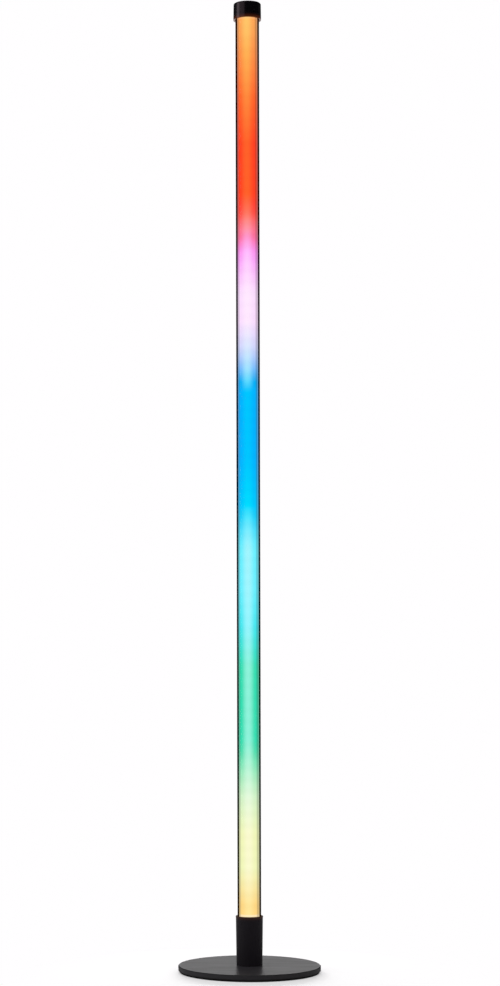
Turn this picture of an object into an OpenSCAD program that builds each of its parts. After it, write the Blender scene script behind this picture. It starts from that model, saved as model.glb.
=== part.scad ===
// Corner floor lamp: a slim glowing column in a drafted socket on a round steel base.
// Millimetres, +Z up. The origin is on the floor under the middle of the base, and the front faces -Y.

/* [Overall] */
// Height from the floor to the top of the cap
lamp_h = 1400; // [900:5:1700]

/* [Base] */
// Diameter of the steel base plate
base_d = 206; // [150:1:280]
// Thickness of the steel base plate
base_t = 7.5; // [6.5:0.1:12]
// Bevel on the upper edge of the plate
base_bevel = 1; // [0.4:0.1:2.5]
// Chamfer on the lower edge of the plate
base_chamfer = 0.6; // [0.2:0.1:1.2]
// Depth of the round seat that locates the socket
seat_depth = 1; // [0.5:0.1:2]
// Thickness of the foam pad under the plate
pad_t = 2.3; // [0.8:0.1:3]
// How far the pad stays inside the edge of the plate
pad_inset = 2; // [1:0.1:10]
// Diameter of the open middle of the pad
pad_hole_d = 64; // [45:1:100]

/* [Socket] */
// Height of the socket above the plate
socket_h = 71.2; // [60:0.2:90]
// Outer diameter of the socket at its rim
socket_rim_d = 39.6; // [38.6:0.1:42]
// Outer diameter of the socket at its foot
socket_foot_d = 37.5; // [36.5:0.1:39.3]
// Height of the flare that widens the drafted wall to the lip
lip_flare_h = 0.9; // [0.4:0.1:1.5]
// Height of the straight lip at the rim
lip_h = 1.5; // [1:0.1:3]
// How far the lip stands out past the drafted wall
lip_out = 0.25; // [0.1:0.05:0.6]
// Diameter of the chamber for the board
chamber_d = 32.6; // [32:0.1:33]
// Thickness of the shelf under the column
shelf_t = 3; // [2:0.1:4]
// Diameter of the hole in the shelf for the leads
shelf_hole_d = 17; // [15:0.5:17.5]
// How deep the flat round the inlet and the button is cut into the foot's radius
rear_flat_cut = 0.45; // [0.4:0.05:0.7]
// Wall between that flat and the flat inside the chamber
rear_wall_t = 3.3; // [3:0.1:3.6]
// How far that flat reaches below the inlet's nose and above the button
rear_flat_margin = 4.5; // [3:0.1:5]
// Bevel at the mouths of the socket and the cap, which leads the tube in
mouth_bevel = 0.4; // [0.2:0.1:0.6]

/* [Socket screws] */
// Distance of the screws from the axis
boss_ring_r = 12.7; // [12.2:0.1:13.2]
// Outer diameter of each screw boss
boss_d = 7.4; // [7:0.1:8]
// Height of each screw boss
boss_h = 12; // [10.5:0.1:15]
// Roof left over the screw's hole in each boss
boss_roof_t = 1; // [0.6:0.1:1.5]
// Outer diameter of each threaded insert
insert_d = 5.6; // [5.2:0.1:6]
// Length of each threaded insert
insert_l = 7.6; // [5:0.1:8]
// Thread diameter of the screws
screw_d = 4; // [3:0.1:4.4]
// Length of the screws over their countersunk heads
screw_l = 14; // [12:0.5:15]
// Head diameter of the screws
screw_head_d = 7.6; // [6.5:0.1:8.4]
// Width across the flats of the hexagon in each head
screw_hex_af = 2.5; // [2:0.1:3]

/* [Column] */
// Outer diameter of the clear tube
tube_d = 34.2; // [33:0.1:34.8]
// Wall of the clear tube
tube_wall = 2.3; // [1.5:0.1:3]
// Gap between the clear tube and the diffuser
diffuser_gap = 0.35; // [0.3:0.05:0.8]
// Wall of the diffuser
diffuser_wall = 1.2; // [0.8:0.1:1.6]
// Room left above the diffuser for it to grow warm
diffuser_play = 1.5; // [0.5:0.1:3]
// Thickness of the ring gaskets at both ends of the tube
gasket_t = 0.8; // [0.5:0.1:1.5]

/* [End plugs] */
// Thickness of the flange of each plug
flange_t = 2.4; // [2:0.1:3.5]
// Length of each plug inside the clear tube
plug_body_l = 6.6; // [5:0.1:9]
// Length of each plug inside the diffuser
plug_spigot_l = 8; // [5:0.1:10]
// Thickness of solid floor under the carrier in each plug
plug_floor_t = 4.8; // [3:0.1:6]
// Distance of the column screws from the axis
column_screw_ring_r = 10.9; // [10.7:0.05:11]
// Thread diameter of the column screws
column_screw_d = 2.9; // [2.5:0.1:3.2]
// Length of the column screws under their heads
column_screw_l = 10; // [7:0.5:11]
// Head diameter of the column screws
column_head_d = 5.4; // [4.5:0.1:5.6]
// Head height of the column screws
column_head_h = 1.6; // [1:0.1:2]

/* [Cap] */
// Height of the cap
cap_h = 23.5; // [18:0.5:32]
// Outer diameter of the cap at its mouth
cap_mouth_d = 40.1; // [39:0.1:43]
// Outer diameter of the cap at its top
cap_top_d = 39.4; // [38:0.1:41]
// Radius of the rounded upper edge of the cap
cap_edge_r = 1.6; // [0.6:0.1:2.5]
// Thickness of the cap's roof
cap_roof_t = 3; // [2:0.1:4]
// Height of the ribs under the roof
cap_rib_h = 2; // [1:0.1:3]
// Number of ribs under the roof
cap_ribs = 6; // [3:1:8]
// Outer diameter of the spigot that holds the cap in the upper plug
cap_spigot_d = 12; // [9:0.5:14]
// Thickness of the wall of that spigot and of the ribs
cap_rib_t = 1.5; // [1:0.1:2]
// Length of that spigot in the plug
cap_spigot_l = 5.5; // [3:0.5:6]
// Room left under the spigot
cap_spigot_room = 1; // [0.5:0.1:2]

/* [Light carrier] */
// Width of the web between the lips
carrier_web_w = 11; // [10.4:0.1:12]
// Thickness of the web
carrier_web_t = 1.6; // [1.2:0.1:2.4]
// Thickness of the two lips
carrier_lip_t = 1; // [0.8:0.1:1.4]
// Depth of the two lips, front to back
carrier_lip_d = 3.4; // [2.8:0.1:4.4]
// Width of each light strip
strip_w = 10; // [8:0.5:10]
// Thickness of each light strip
strip_t = 0.3; // [0.2:0.05:0.5]
// Side of each light package
chip_w = 5; // [3:0.5:5]
// Height of each light package
chip_t = 1.6; // [1:0.1:2]
// Wall left round the well in each light package
chip_wall = 0.5; // [0.3:0.1:0.8]
// Depth of the round well in each light package
chip_well = 0.4; // [0.1:0.1:0.8]
// Distance between light packages
chip_pitch = 16.67; // [10:0.01:33.4]
// Gap between the end of each strip and the plug beside it
strip_inset = 1.8; // [0.5:0.1:3]
// Length of the bare pads at the lower end of each strip
strip_pad_l = 6; // [5:0.5:10]

/* [Board] */
// Width of the control board
board_w = 28; // [27:0.5:28.4]
// Gap between the control board and the shelf
board_shelf_gap = 2.4; // [0.5:0.1:3]
// Thickness of the control board
board_t = 1.6; // [1:0.1:2]
// Distance from the axis to the board's front face
board_y = 4; // [3.8:0.1:4.4]
// Thickness of the insulating sheet under the board
sheet_t = 1; // [0.5:0.1:1.5]
// Depth of each board guide, front to back
guide_d = 4.6; // [4:0.1:6]
// How far each guide's slot holds the board
guide_hold = 1.4; // [1:0.1:2]

/* [Inlet and button] */
// Gap between the rear boss and the inlet's housing
inlet_boss_gap = 1.3; // [0.8:0.1:3]
// Side of the square inlet housing
inlet_w = 9; // [8.5:0.1:9.2]
// Outer diameter of the inlet's nose
inlet_nose_d = 8; // [7.6:0.1:8.4]
// Bore of the inlet
inlet_bore_d = 6.2; // [6:0.1:6.6]
// Depth of the inlet's bore
inlet_bore_l = 9.5; // [8.5:0.1:10]
// Diameter of the inlet's centre pin
inlet_pin_d = 2.1; // [2:0.1:2.5]
// Gap between the inlet's housing and the button's flange
button_inlet_gap = 1.4; // [0.8:0.1:3]
// Gap between the button's flange and the shelf
button_shelf_gap = 1.7; // [0.8:0.1:3]
// Diameter of the button
button_d = 7; // [6:0.1:7.4]
// How far the button stands out of the flat at rest
button_out = 1.3; // [1.1:0.1:2]
// Chamfer round the button's head
button_chamfer = 0.4; // [0.2:0.1:0.6]
// Radius of the shallow dish in the button's head
button_dish_r = 14; // [12:1:30]
// Depth of that dish
button_dish = 0.3; // [0.1:0.05:0.4]
// Diameter of the button's flange, which keeps it in
button_flange_d = 9; // [8.6:0.1:9.2]
// Thickness of the button's flange
button_flange_t = 1.2; // [0.8:0.1:1.6]
// Diameter of the button's stem
button_stem_d = 3.4; // [3:0.1:4]
// Travel of the button
button_travel = 0.8; // [0.4:0.1:1]
// Side of the square switch
switch_w = 6; // [5.6:0.1:6.4]
// Depth of the switch body
switch_d = 3.5; // [3:0.1:4]
// Diameter of the switch's plunger
plunger_d = 3.4; // [3:0.1:4]
// How far the plunger stands out of the switch at rest
plunger_out = 1.1; // [1.05:0.05:1.4]
// Floor of the switch behind its plunger
switch_floor_t = 0.4; // [0.3:0.1:0.6]

/* [Board parts] */
// Gap between the rows of parts, and under the lowest row
row_gap = 1.8; // [1:0.1:2]
// Width of the lead connector
connector_w = 12; // [11:0.5:13]
// Depth of the lead connector
connector_d = 7.4; // [6.8:0.1:7.8]
// Height of the lead connector
connector_h = 8; // [6:0.5:9]
// Diameter of each lead
lead_d = 1.3; // [0.8:0.1:1.5]
// Distance between leads side by side
lead_pitch = 2.5; // [2:0.1:3]
// How deep each lead sits in the connector
lead_seat = 3; // [1:0.5:5]
// Length of the capacitor's can
can_l = 8; // [6:0.5:9]
// Diameter of the capacitor's can
can_d = 6.3; // [5:0.1:6.5]
// Radius of the groove rolled round the can, and of its folded edge
can_groove_r = 0.4; // [0.2:0.1:0.6]
// Side of the square choke
choke_w = 6.8; // [6:0.1:7]
// Thickness of the choke
choke_t = 4; // [3:0.1:5]
// Thickness of the two flanges of the choke
choke_flange_t = 0.9; // [0.6:0.1:1.2]
// Depth of the winding's waist between them, and of their cut corners
choke_waist = 0.7; // [0.4:0.1:1]
// Width of the radio module
radio_w = 11; // [9:0.5:11]
// Height of the radio module
radio_h = 7.4; // [6:0.1:7.6]
// Thickness of the radio module
radio_t = 2.2; // [1.5:0.1:3]
// Thickness of the radio module's own board
radio_board_t = 0.8; // [0.6:0.1:1]
// How far its shield stays inside the edge of that board
shield_inset = 0.5; // [0.2:0.1:1]
// Width of the driver chip
driver_w = 6; // [4:0.5:8]
// Height of the driver chip
driver_h = 5; // [4:0.5:7]
// Thickness of the driver chip
driver_t = 1.6; // [1:0.1:2]
// Distance between the legs of the driver chip
leg_pitch = 1.27; // [1:0.01:1.5]
// Width of each leg
leg_w = 0.5; // [0.3:0.1:0.7]
// Thickness of each leg
leg_t = 0.2; // [0.1:0.05:0.3]
// How far the legs stand out from the chip's sides
leg_out = 0.9; // [0.6:0.1:1.2]

/* [Clearances] */
// Radial gap between the tube and the socket or the cap
tube_clear = 0.15; // [0.1:0.05:0.3]
// Radial gap between the plugs and the tubes they fill
plug_clear = 0.1; // [0.05:0.05:0.2]
// Radial gap between a moving piece and its hole
slide_clear = 0.1; // [0.06:0.01:0.15]
// Gap round pieces that are only laid or slid in place
loose_clear = 0.2; // [0.1:0.05:0.3]
// Radial gap between a screw and a hole it passes through
screw_clear = 0.25; // [0.15:0.05:0.4]

/* [Hidden] */

// Facets of a round, and the small overlap that makes cuts run through
$fn = 96;
eps = 0.01;

// Levels of the base
plate_z = pad_t;
plate_top = plate_z + base_t;
seat_z = plate_top - seat_depth;
sheet_top = seat_z + sheet_t;

// Depth of the countersinks in the plate
screw_sink_h = (screw_head_d - screw_d) / 2;

// Levels inside the socket: the boss, the inlet, the button and the shelf stand over each other
inlet_z = seat_z + boss_h + inlet_boss_gap + inlet_w / 2;
button_z = inlet_z + inlet_w / 2 + button_inlet_gap + button_flange_d / 2;
shelf_z = button_z + button_flange_d / 2 + button_shelf_gap;
shelf_top = shelf_z + shelf_t;
socket_top = plate_top + socket_h;

// The two flats at the back, outside and inside
rear_face_y = socket_foot_d / 2 - rear_flat_cut;
rear_wall_y = rear_face_y - rear_wall_t;
rear_flat_z = inlet_z - inlet_nose_d / 2 - rear_flat_margin;
rear_flat_top = button_z + button_d / 2 + rear_flat_margin;

// Radii of the column
tube_r = tube_d / 2;
tube_bore_r = tube_r - tube_wall;
diffuser_r = tube_bore_r - diffuser_gap;
diffuser_bore_r = diffuser_r - diffuser_wall;
plug_body_r = tube_bore_r - plug_clear;
plug_spigot_r = diffuser_bore_r - plug_clear;
pocket_r = tube_r + tube_clear;
chamber_r = chamber_d / 2;

// Levels of the column, from the shelf up and from the cap down
tube_z = shelf_top + flange_t + gasket_t;
lower_shoulder_z = shelf_top + flange_t + plug_body_l;
plug_seat_top = lamp_h - cap_roof_t - cap_rib_h;
tube_top = plug_seat_top - flange_t - gasket_t;
upper_shoulder_z = plug_seat_top - flange_t - plug_body_l;
diffuser_top = upper_shoulder_z - diffuser_play;
cap_z = lamp_h - cap_h;

// Carrier, strips and light packages
carrier_z = shelf_top + plug_floor_t;
cap_bore_l = cap_spigot_l + cap_spigot_room;
carrier_top = plug_seat_top - cap_bore_l - plug_floor_t;
web_y = carrier_web_t / 2;
strip_face_y = web_y + strip_t;
plug_open_z = lower_shoulder_z + plug_spigot_l;
strip_z = plug_open_z + strip_inset;
strip_top = upper_shoulder_z - plug_spigot_l - strip_inset;
chip_first_z = strip_z + strip_pad_l + chip_w / 2;
chip_count = floor((strip_top - chip_w - chip_first_z) / chip_pitch) + 1;

// Places on the board and on the rear wall
board_back_y = board_y + board_t;
guide_mid_y = board_y + board_t / 2;
board_top = shelf_z - board_shelf_gap;
inlet_floor_y = rear_face_y - inlet_bore_l;
switch_face_y = board_back_y + switch_d;
plunger_tip_y = switch_face_y + plunger_out;
plunger_heel_y = board_back_y + switch_floor_t + slide_clear + button_travel;
row_low_z = sheet_top + row_gap;
connector_z = row_low_z + radio_h + row_gap;
row_high_z = connector_z + connector_h + row_gap;
row_side_x = board_w / 2 - guide_hold - loose_clear;
lead_y = strip_face_y + lead_d / 2 + eps;
lead_top = strip_z + strip_pad_l;

// Angles of the two screw circles
boss_angles = [90, 210, 330];
column_screw_angles = [60, 180, 300];

// A ring between two radii
module ring(outer_r, inner_r, height) {
    difference() {
        cylinder(r = outer_r, h = height);
        translate([0, 0, -eps])
            cylinder(r = inner_r, h = height + 2 * eps);
    }
}

// Copies of a piece on a circle about the axis
module around(radius, angles) {
    for (a = angles)
        rotate([0, 0, a])
            translate([radius, 0, 0])
                children();
}

// A block centred on X and Y
module block(size) {
    translate([-size[0] / 2, -size[1] / 2, 0])
        cube(size);
}

// A round bar along +Y, from one distance to another
module rod_y(diameter, from_y, to_y) {
    translate([0, from_y, 0])
        rotate([-90, 0, 0])
            cylinder(d = diameter, h = to_y - from_y);
}

// Outline of the base plate: bevelled above, chamfered below
module plate_outline() {
    r = base_d / 2;
    polygon([
        [0, 0], [r - base_chamfer, 0], [r, base_chamfer], [r, base_t - base_bevel],
        [r - base_bevel, base_t], [0, base_t]
    ]);
}

// Steel plate with the socket's seat and three countersunk holes
module base_plate() {
    color("dimgray")
        difference() {
            translate([0, 0, plate_z])
                rotate_extrude()
                    plate_outline();
            translate([0, 0, seat_z])
                cylinder(d = socket_foot_d + 2 * plug_clear, h = seat_depth + eps);
            around(boss_ring_r, boss_angles) {
                cylinder(d = screw_d + 2 * screw_clear, h = plate_top);
                translate([0, 0, plate_z - eps])
                    cylinder(d1 = screw_head_d + 2 * eps, d2 = screw_d, h = screw_sink_h + eps);
            }
        }
}

// Foam pad under the plate, open in the middle so that the screws can be reached
module base_pad() {
    color("black")
        ring(base_d / 2 - pad_inset, pad_hole_d / 2, pad_t);
}

// Three countersunk screws that hold the socket to the plate
module base_screws() {
    color("silver")
        around(boss_ring_r, boss_angles)
            translate([0, 0, plate_z])
                difference() {
                    union() {
                        cylinder(d1 = screw_head_d, d2 = screw_d, h = screw_sink_h);
                        cylinder(d = screw_d, h = screw_l);
                    }
                    translate([0, 0, -eps])
                        cylinder(d = screw_hex_af / cos(30), h = screw_sink_h, $fn = 6);
                }
}

// Plan of the socket's chamber, drawn smaller by a gap for what is laid in it
module chamber_plan(gap) {
    difference() {
        circle(r = chamber_r - gap);
        around(boss_ring_r, boss_angles)
            circle(d = boss_d + 2 * gap);
        translate([-chamber_d, rear_wall_y - gap])
            square([2 * chamber_d, chamber_d]);
        for (side = [-1, 1])
            translate([side * (board_w / 2 - guide_hold - gap + chamber_r / 2), guide_mid_y])
                square([chamber_r, guide_d + 2 * gap], center = true);
    }
}

// Insulating sheet on the seat, notched round the bosses and the guides
module insulator_sheet() {
    color("beige")
        translate([0, 0, seat_z])
            linear_extrude(sheet_t)
                chamber_plan(loose_clear);
}

// Outer form of the socket: a straight foot in the seat, a drafted wall and a flared lip
module socket_form() {
    foot_r = socket_foot_d / 2;
    rim_r = socket_rim_d / 2;
    lip_z = socket_top - lip_h;
    rotate_extrude()
        polygon([
            [0, seat_z], [foot_r, seat_z], [foot_r, plate_top], [rim_r - lip_out, lip_z - lip_flare_h],
            [rim_r, lip_z], [rim_r, socket_top - lip_out], [rim_r - lip_out, socket_top],
            [0, socket_top]
        ]);
}

// The chamber below the shelf, without its bosses and guides
module socket_chamber() {
    translate([0, 0, seat_z - eps])
        intersection() {
            cylinder(r = chamber_r, h = shelf_z - seat_z + eps);
            translate([-chamber_d, -chamber_d, 0])
                cube([2 * chamber_d, chamber_d + rear_wall_y, shelf_z]);
        }
}

// Bosses and board guides, trimmed to the chamber
module socket_ribs() {
    guide_in = board_w / 2 - guide_hold;
    intersection() {
        translate([0, 0, seat_z])
            cylinder(r = chamber_r + eps, h = shelf_z - seat_z + eps);
        union() {
            around(boss_ring_r, boss_angles)
                translate([0, 0, seat_z])
                    cylinder(d = boss_d, h = boss_h);
            for (side = [-1, 1])
                translate([side * (guide_in + chamber_r / 2), guide_mid_y, seat_z])
                    block([chamber_r, guide_d, shelf_z - seat_z + eps]);
        }
    }
}

// Slot in the guides that the board slides into from below
module board_slot() {
    translate([0, guide_mid_y, seat_z - eps])
        block([board_w + 2 * loose_clear, board_t + 2 * eps, board_top + loose_clear - seat_z]);
}

// Holes and the flat at the back, for the inlet and the button
module rear_openings() {
    translate([-socket_rim_d / 2, rear_face_y, rear_flat_z])
        cube([socket_rim_d, socket_rim_d, rear_flat_top - rear_flat_z]);
    translate([0, 0, inlet_z])
        rod_y(inlet_nose_d + 2 * slide_clear, rear_wall_y - eps, socket_rim_d);
    translate([0, 0, button_z])
        rod_y(button_d + 2 * slide_clear, rear_wall_y - eps, socket_rim_d);
}

// Cutter for the bevel at a mouth, which opens upwards to Z 0
module mouth_cone() {
    translate([0, 0, -mouth_bevel])
        cylinder(r1 = pocket_r, r2 = pocket_r + mouth_bevel + eps, h = mouth_bevel + eps);
}

// Moulded socket: pocket for the column, shelf, board chamber, bosses and guides
module socket() {
    color("#1c191c")
        difference() {
            union() {
                difference() {
                    socket_form();
                    translate([0, 0, shelf_top])
                        cylinder(r = pocket_r, h = socket_top - shelf_top + eps);
                    translate([0, 0, socket_top])
                        mouth_cone();
                    socket_chamber();
                }
                socket_ribs();
            }
            translate([0, 0, shelf_z - eps])
                cylinder(d = shelf_hole_d, h = shelf_t + 2 * eps);
            board_slot();
            around(boss_ring_r, boss_angles)
                translate([0, 0, seat_z - eps]) {
                    cylinder(d = insert_d, h = insert_l + eps);
                    cylinder(d = screw_d + 2 * screw_clear, h = boss_h - boss_roof_t + eps);
                }
            around(column_screw_ring_r, column_screw_angles)
                translate([0, 0, shelf_z - eps])
                    cylinder(d = column_screw_d + 2 * screw_clear, h = shelf_t + 2 * eps);
            rear_openings();
        }
}

// Three threaded brass inserts pressed into the bosses
module socket_inserts() {
    color("goldenrod")
        around(boss_ring_r, boss_angles)
            translate([0, 0, seat_z])
                ring(insert_d / 2, screw_d / 2, insert_l);
}

// Three screws up through the shelf into the lower plug
module column_screws() {
    color("silver")
        around(column_screw_ring_r, column_screw_angles)
            translate([0, 0, shelf_z])
                difference() {
                    union() {
                        cylinder(d = column_screw_d, h = column_screw_l);
                        translate([0, 0, -column_head_h])
                            cylinder(d = column_head_d, h = column_head_h);
                    }
                    translate([0, 0, -column_head_h - eps])
                        cylinder(d = column_screw_d / 2, h = column_head_h, $fn = 6);
                }
}

// Plan of the carrier: a web between two lips
module carrier_plan(gap) {
    square([carrier_web_w + 2 * gap, carrier_web_t + 2 * gap], center = true);
    for (side = [-1, 1])
        translate([side * (carrier_web_w + carrier_lip_t) / 2, 0])
            square([carrier_lip_t + 2 * gap, carrier_lip_d + 2 * gap], center = true);
}

// A plug on its flange, pointing up: flange, body for the tube, spigot for the diffuser
module plug_form() {
    cylinder(r = tube_r, h = flange_t);
    cylinder(r = plug_body_r, h = flange_t + plug_body_l);
    cylinder(r = plug_spigot_r, h = flange_t + plug_body_l + plug_spigot_l);
}

// Lower plug with the carrier's slot, a passage for the leads and three pilot holes
module lower_plug() {
    passage_w = 2 * lead_pitch + lead_d + 4 * loose_clear;
    passage_d = 2 * lead_y + lead_d + 4 * loose_clear;
    plug_h = flange_t + plug_body_l + plug_spigot_l;
    color("whitesmoke")
        translate([0, 0, shelf_top])
            difference() {
                plug_form();
                translate([0, 0, plug_floor_t])
                    linear_extrude(plug_h)
                        carrier_plan(plug_clear);
                for (side = [-1, 1])
                    translate([0, side * (passage_d / 2 + strip_face_y) / 2, -eps])
                        block([passage_w, passage_d / 2 - strip_face_y, plug_h + 2 * eps]);
                around(column_screw_ring_r, column_screw_angles)
                    translate([0, 0, -eps])
                        cylinder(d = column_screw_d, h = column_screw_l - shelf_t + 2 * eps);
            }
}

// Ring gasket between the lower flange and the tube
module lower_gasket() {
    color("gray")
        translate([0, 0, shelf_top + flange_t])
            ring(tube_r, tube_bore_r, gasket_t);
}

// Clear outer tube
module outer_tube() {
    color("lightcyan", 0.4)
        translate([0, 0, tube_z])
            ring(tube_r, tube_bore_r, tube_top - tube_z);
}

// Opal diffuser, which stands on the lower plug's shoulder
module diffuser_tube() {
    color("white")
        translate([0, 0, lower_shoulder_z])
            ring(diffuser_r, diffuser_bore_r, diffuser_top - lower_shoulder_z);
}

// Extruded carrier for the two light strips
module led_carrier() {
    color("silver")
        translate([0, 0, carrier_z])
            linear_extrude(carrier_top - carrier_z)
                carrier_plan(0);
}

// One light strip on the web, towards -Y for side -1 and +Y for side 1
module led_strip(side) {
    color("white")
        translate([0, side * (web_y + strip_t / 2), strip_z])
            block([strip_w, strip_t, strip_top - strip_z]);
}

// One light package, facing -Y, with a round well in its front
module light_package() {
    difference() {
        translate([0, -chip_t / 2, 0])
            block([chip_w, chip_t, chip_w]);
        translate([0, 0, chip_w / 2])
            rod_y(chip_w - 2 * chip_wall, -chip_t - eps, chip_well - chip_t);
    }
}

// The light packages of one strip
module led_chips(side) {
    color("gold")
        for (i = [0 : chip_count - 1])
            translate([0, side * strip_face_y, chip_first_z + i * chip_pitch])
                rotate([0, 0, side > 0 ? 180 : 0])
                    light_package();
}

module led_strip_front() { led_strip(-1); }
module led_strip_back() { led_strip(1); }
module led_chips_front() { led_chips(-1); }
module led_chips_back() { led_chips(1); }

// Ring gasket between the tube and the upper flange
module upper_gasket() {
    color("gray")
        translate([0, 0, tube_top])
            ring(tube_r, tube_bore_r, gasket_t);
}

// Upper plug, hanging from its flange, with the carrier's slot and the cap's socket
module upper_plug() {
    plug_h = flange_t + plug_body_l + plug_spigot_l;
    color("whitesmoke")
        difference() {
            translate([0, 0, plug_seat_top])
                mirror([0, 0, 1])
                    plug_form();
            translate([0, 0, plug_seat_top - plug_h - eps])
                linear_extrude(carrier_top + loose_clear - plug_seat_top + plug_h + eps)
                    carrier_plan(plug_clear);
            translate([0, 0, plug_seat_top - cap_bore_l])
                cylinder(d = cap_spigot_d, h = cap_bore_l + eps);
        }
}

// Outline of the cap's solid form, with a rounded upper edge
module cap_outline() {
    mouth_r = cap_mouth_d / 2;
    top_r = cap_top_d / 2;
    polygon([
        [0, 0], [mouth_r, 0], [top_r, cap_h - cap_edge_r],
        [top_r - cap_edge_r, cap_h - cap_edge_r], [top_r - cap_edge_r, cap_h], [0, cap_h]
    ]);
    translate([top_r - cap_edge_r, cap_h - cap_edge_r])
        circle(r = cap_edge_r);
}

// Moulded cap: skirt round the tube, ribs that press on the upper plug, holding spigot
module top_cap() {
    roof_z = lamp_h - cap_roof_t;
    color("#121014") {
        difference() {
            translate([0, 0, cap_z])
                rotate_extrude()
                    cap_outline();
            translate([0, 0, cap_z - eps])
                cylinder(r = pocket_r, h = roof_z - cap_z + eps);
            translate([0, 0, cap_z])
                mirror([0, 0, 1])
                    mouth_cone();
        }
        translate([0, 0, roof_z - cap_rib_h])
            intersection() {
                cylinder(r = pocket_r + eps, h = cap_rib_h + eps);
                for (i = [0 : cap_ribs - 1])
                    rotate([0, 0, i * 360 / cap_ribs])
                        translate([0, -cap_rib_t / 2, 0])
                            cube([cap_mouth_d, cap_rib_t, cap_rib_h + eps]);
            }
        translate([0, 0, plug_seat_top - cap_spigot_l])
            ring(cap_spigot_d / 2, cap_spigot_d / 2 - cap_rib_t, cap_spigot_l + cap_rib_h + eps);
    }
}

// Control board in its guides, standing on the insulating sheet
module control_board() {
    color("darkgreen")
        translate([0, guide_mid_y, sheet_top])
            block([board_w, board_t, board_top - sheet_top]);
}

// A part on the front of the board, with its middle at x and its foot at z
module on_board(x, z, size) {
    translate([x, board_y - size[1] / 2, z])
        block(size);
}

// Radio module, low on the left: its own thin board under a shield
module radio_module() {
    x = -loose_clear - radio_w / 2;
    color("silver") {
        on_board(x, row_low_z, [radio_w, radio_board_t, radio_h]);
        on_board(x, row_low_z + shield_inset,
            [radio_w - 2 * shield_inset, radio_t, radio_h - 2 * shield_inset]);
    }
}

// Outline of a bent leg, from the chip's side outwards along +X and down to the board at Y 0
module leg_outline() {
    bend_x = leg_out / 2;
    top_y = (driver_t + leg_t) / 2;
    polygon([
        [-eps, top_y - leg_t], [bend_x - leg_t, top_y - leg_t], [bend_x - leg_t, 0], [leg_out, 0],
        [leg_out, leg_t], [bend_x, leg_t], [bend_x, top_y], [-eps, top_y]
    ]);
}

// The legs along one side of the driver chip, from its side outwards
module leg_row() {
    count = floor((driver_h - leg_w) / leg_pitch) + 1;
    first_z = (driver_h - leg_w - (count - 1) * leg_pitch) / 2;
    for (i = [0 : count - 1])
        translate([driver_w / 2, 0, first_z + i * leg_pitch])
            linear_extrude(leg_w)
                leg_outline();
}

// Driver chip, low on the right, on two rows of legs
module driver_chip() {
    color("black")
        translate([row_gap + driver_w / 2, board_y, row_low_z])
            mirror([0, 1, 0]) {
                translate([0, driver_t / 2, 0])
                    block([driver_w, driver_t, driver_h]);
                leg_row();
                mirror([1, 0, 0])
                    leg_row();
            }
}

// Outline of the capacitor from its foot up: a can with a rolled groove and a folded edge
module can_outline() {
    r = can_d / 2;
    edge = can_l - can_groove_r;
    difference() {
        polygon([[0, 0], [r, 0], [r, edge], [r - can_groove_r, can_l], [0, can_l]]);
        translate([r, 3 * can_groove_r])
            circle(r = can_groove_r);
    }
}

// Capacitor, high on the right
module storage_capacitor() {
    color("midnightblue")
        translate([row_side_x - can_d / 2, board_y, row_high_z + can_d / 2])
            rotate([90, 0, 0])
                rotate_extrude()
                    can_outline();
}

// Square flange of the choke with cut corners
module choke_flange() {
    side = choke_w / 2;
    corner = side - choke_waist;
    linear_extrude(choke_flange_t)
        polygon([
            [side, corner], [corner, side], [-corner, side], [-side, corner],
            [-side, -corner], [-corner, -side], [corner, -side], [side, -corner]
        ]);
}

// Choke, high on the left: a round winding between two flanges
module power_choke() {
    color("dimgray")
        translate([choke_w / 2 - row_side_x, board_y, row_high_z + choke_w / 2])
            rotate([90, 0, 0]) {
                choke_flange();
                cylinder(d = choke_w - 2 * choke_waist, h = choke_t);
                translate([0, 0, choke_t - choke_flange_t])
                    choke_flange();
            }
}

// The leads' places side by side, in front of and behind the web
module lead_places(sides) {
    for (side = sides, i = [-1 : 1])
        translate([i * lead_pitch, side * lead_y, connector_z + connector_h - lead_seat])
            children();
}

// Connector for the leads, in the middle
module lead_connector() {
    color("ivory")
        difference() {
            on_board(0, connector_z, [connector_w, connector_d, connector_h]);
            lead_places([-1, 1])
                cylinder(d = lead_d + 2 * slide_clear, h = lead_seat + eps);
        }
}

// Three leads from the connector up through the plug to one strip's pads
module strip_leads(side) {
    color("red")
        lead_places([side])
            cylinder(d = lead_d, h = lead_top - connector_z - connector_h + lead_seat);
}

module strip_leads_front() { strip_leads(-1); }
module strip_leads_back() { strip_leads(1); }

// Power inlet: a square housing on the board with a round nose through the socket's wall
module power_inlet() {
    color("black")
        translate([0, 0, inlet_z])
            difference() {
                union() {
                    translate([0, (board_back_y + rear_wall_y) / 2, -inlet_w / 2])
                        block([inlet_w, rear_wall_y - board_back_y, inlet_w]);
                    rod_y(inlet_nose_d, rear_wall_y - eps, rear_face_y);
                }
                rod_y(inlet_bore_d, inlet_floor_y, rear_face_y + eps);
                rod_y(inlet_pin_d, inlet_floor_y - inlet_pin_d, rear_face_y);
            }
}

// Centre pin of the inlet
module inlet_pin() {
    color("silver")
        translate([0, 0, inlet_z])
            rod_y(inlet_pin_d, inlet_floor_y - inlet_pin_d, rear_face_y - inlet_pin_d / 2);
}

// Square switch on the back of the board, bored for its plunger
module button_switch() {
    color("dimgray")
        translate([0, 0, button_z])
            difference() {
                translate([0, (board_back_y + switch_face_y) / 2, -switch_w / 2])
                    block([switch_w, switch_d, switch_w]);
                rod_y(plunger_d + 2 * slide_clear, board_back_y + switch_floor_t, switch_face_y + eps);
            }
}

// Plunger that the button pushes into the switch
module switch_plunger() {
    color("black")
        translate([0, 0, button_z])
            rod_y(plunger_d, plunger_heel_y, plunger_tip_y);
}

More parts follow.
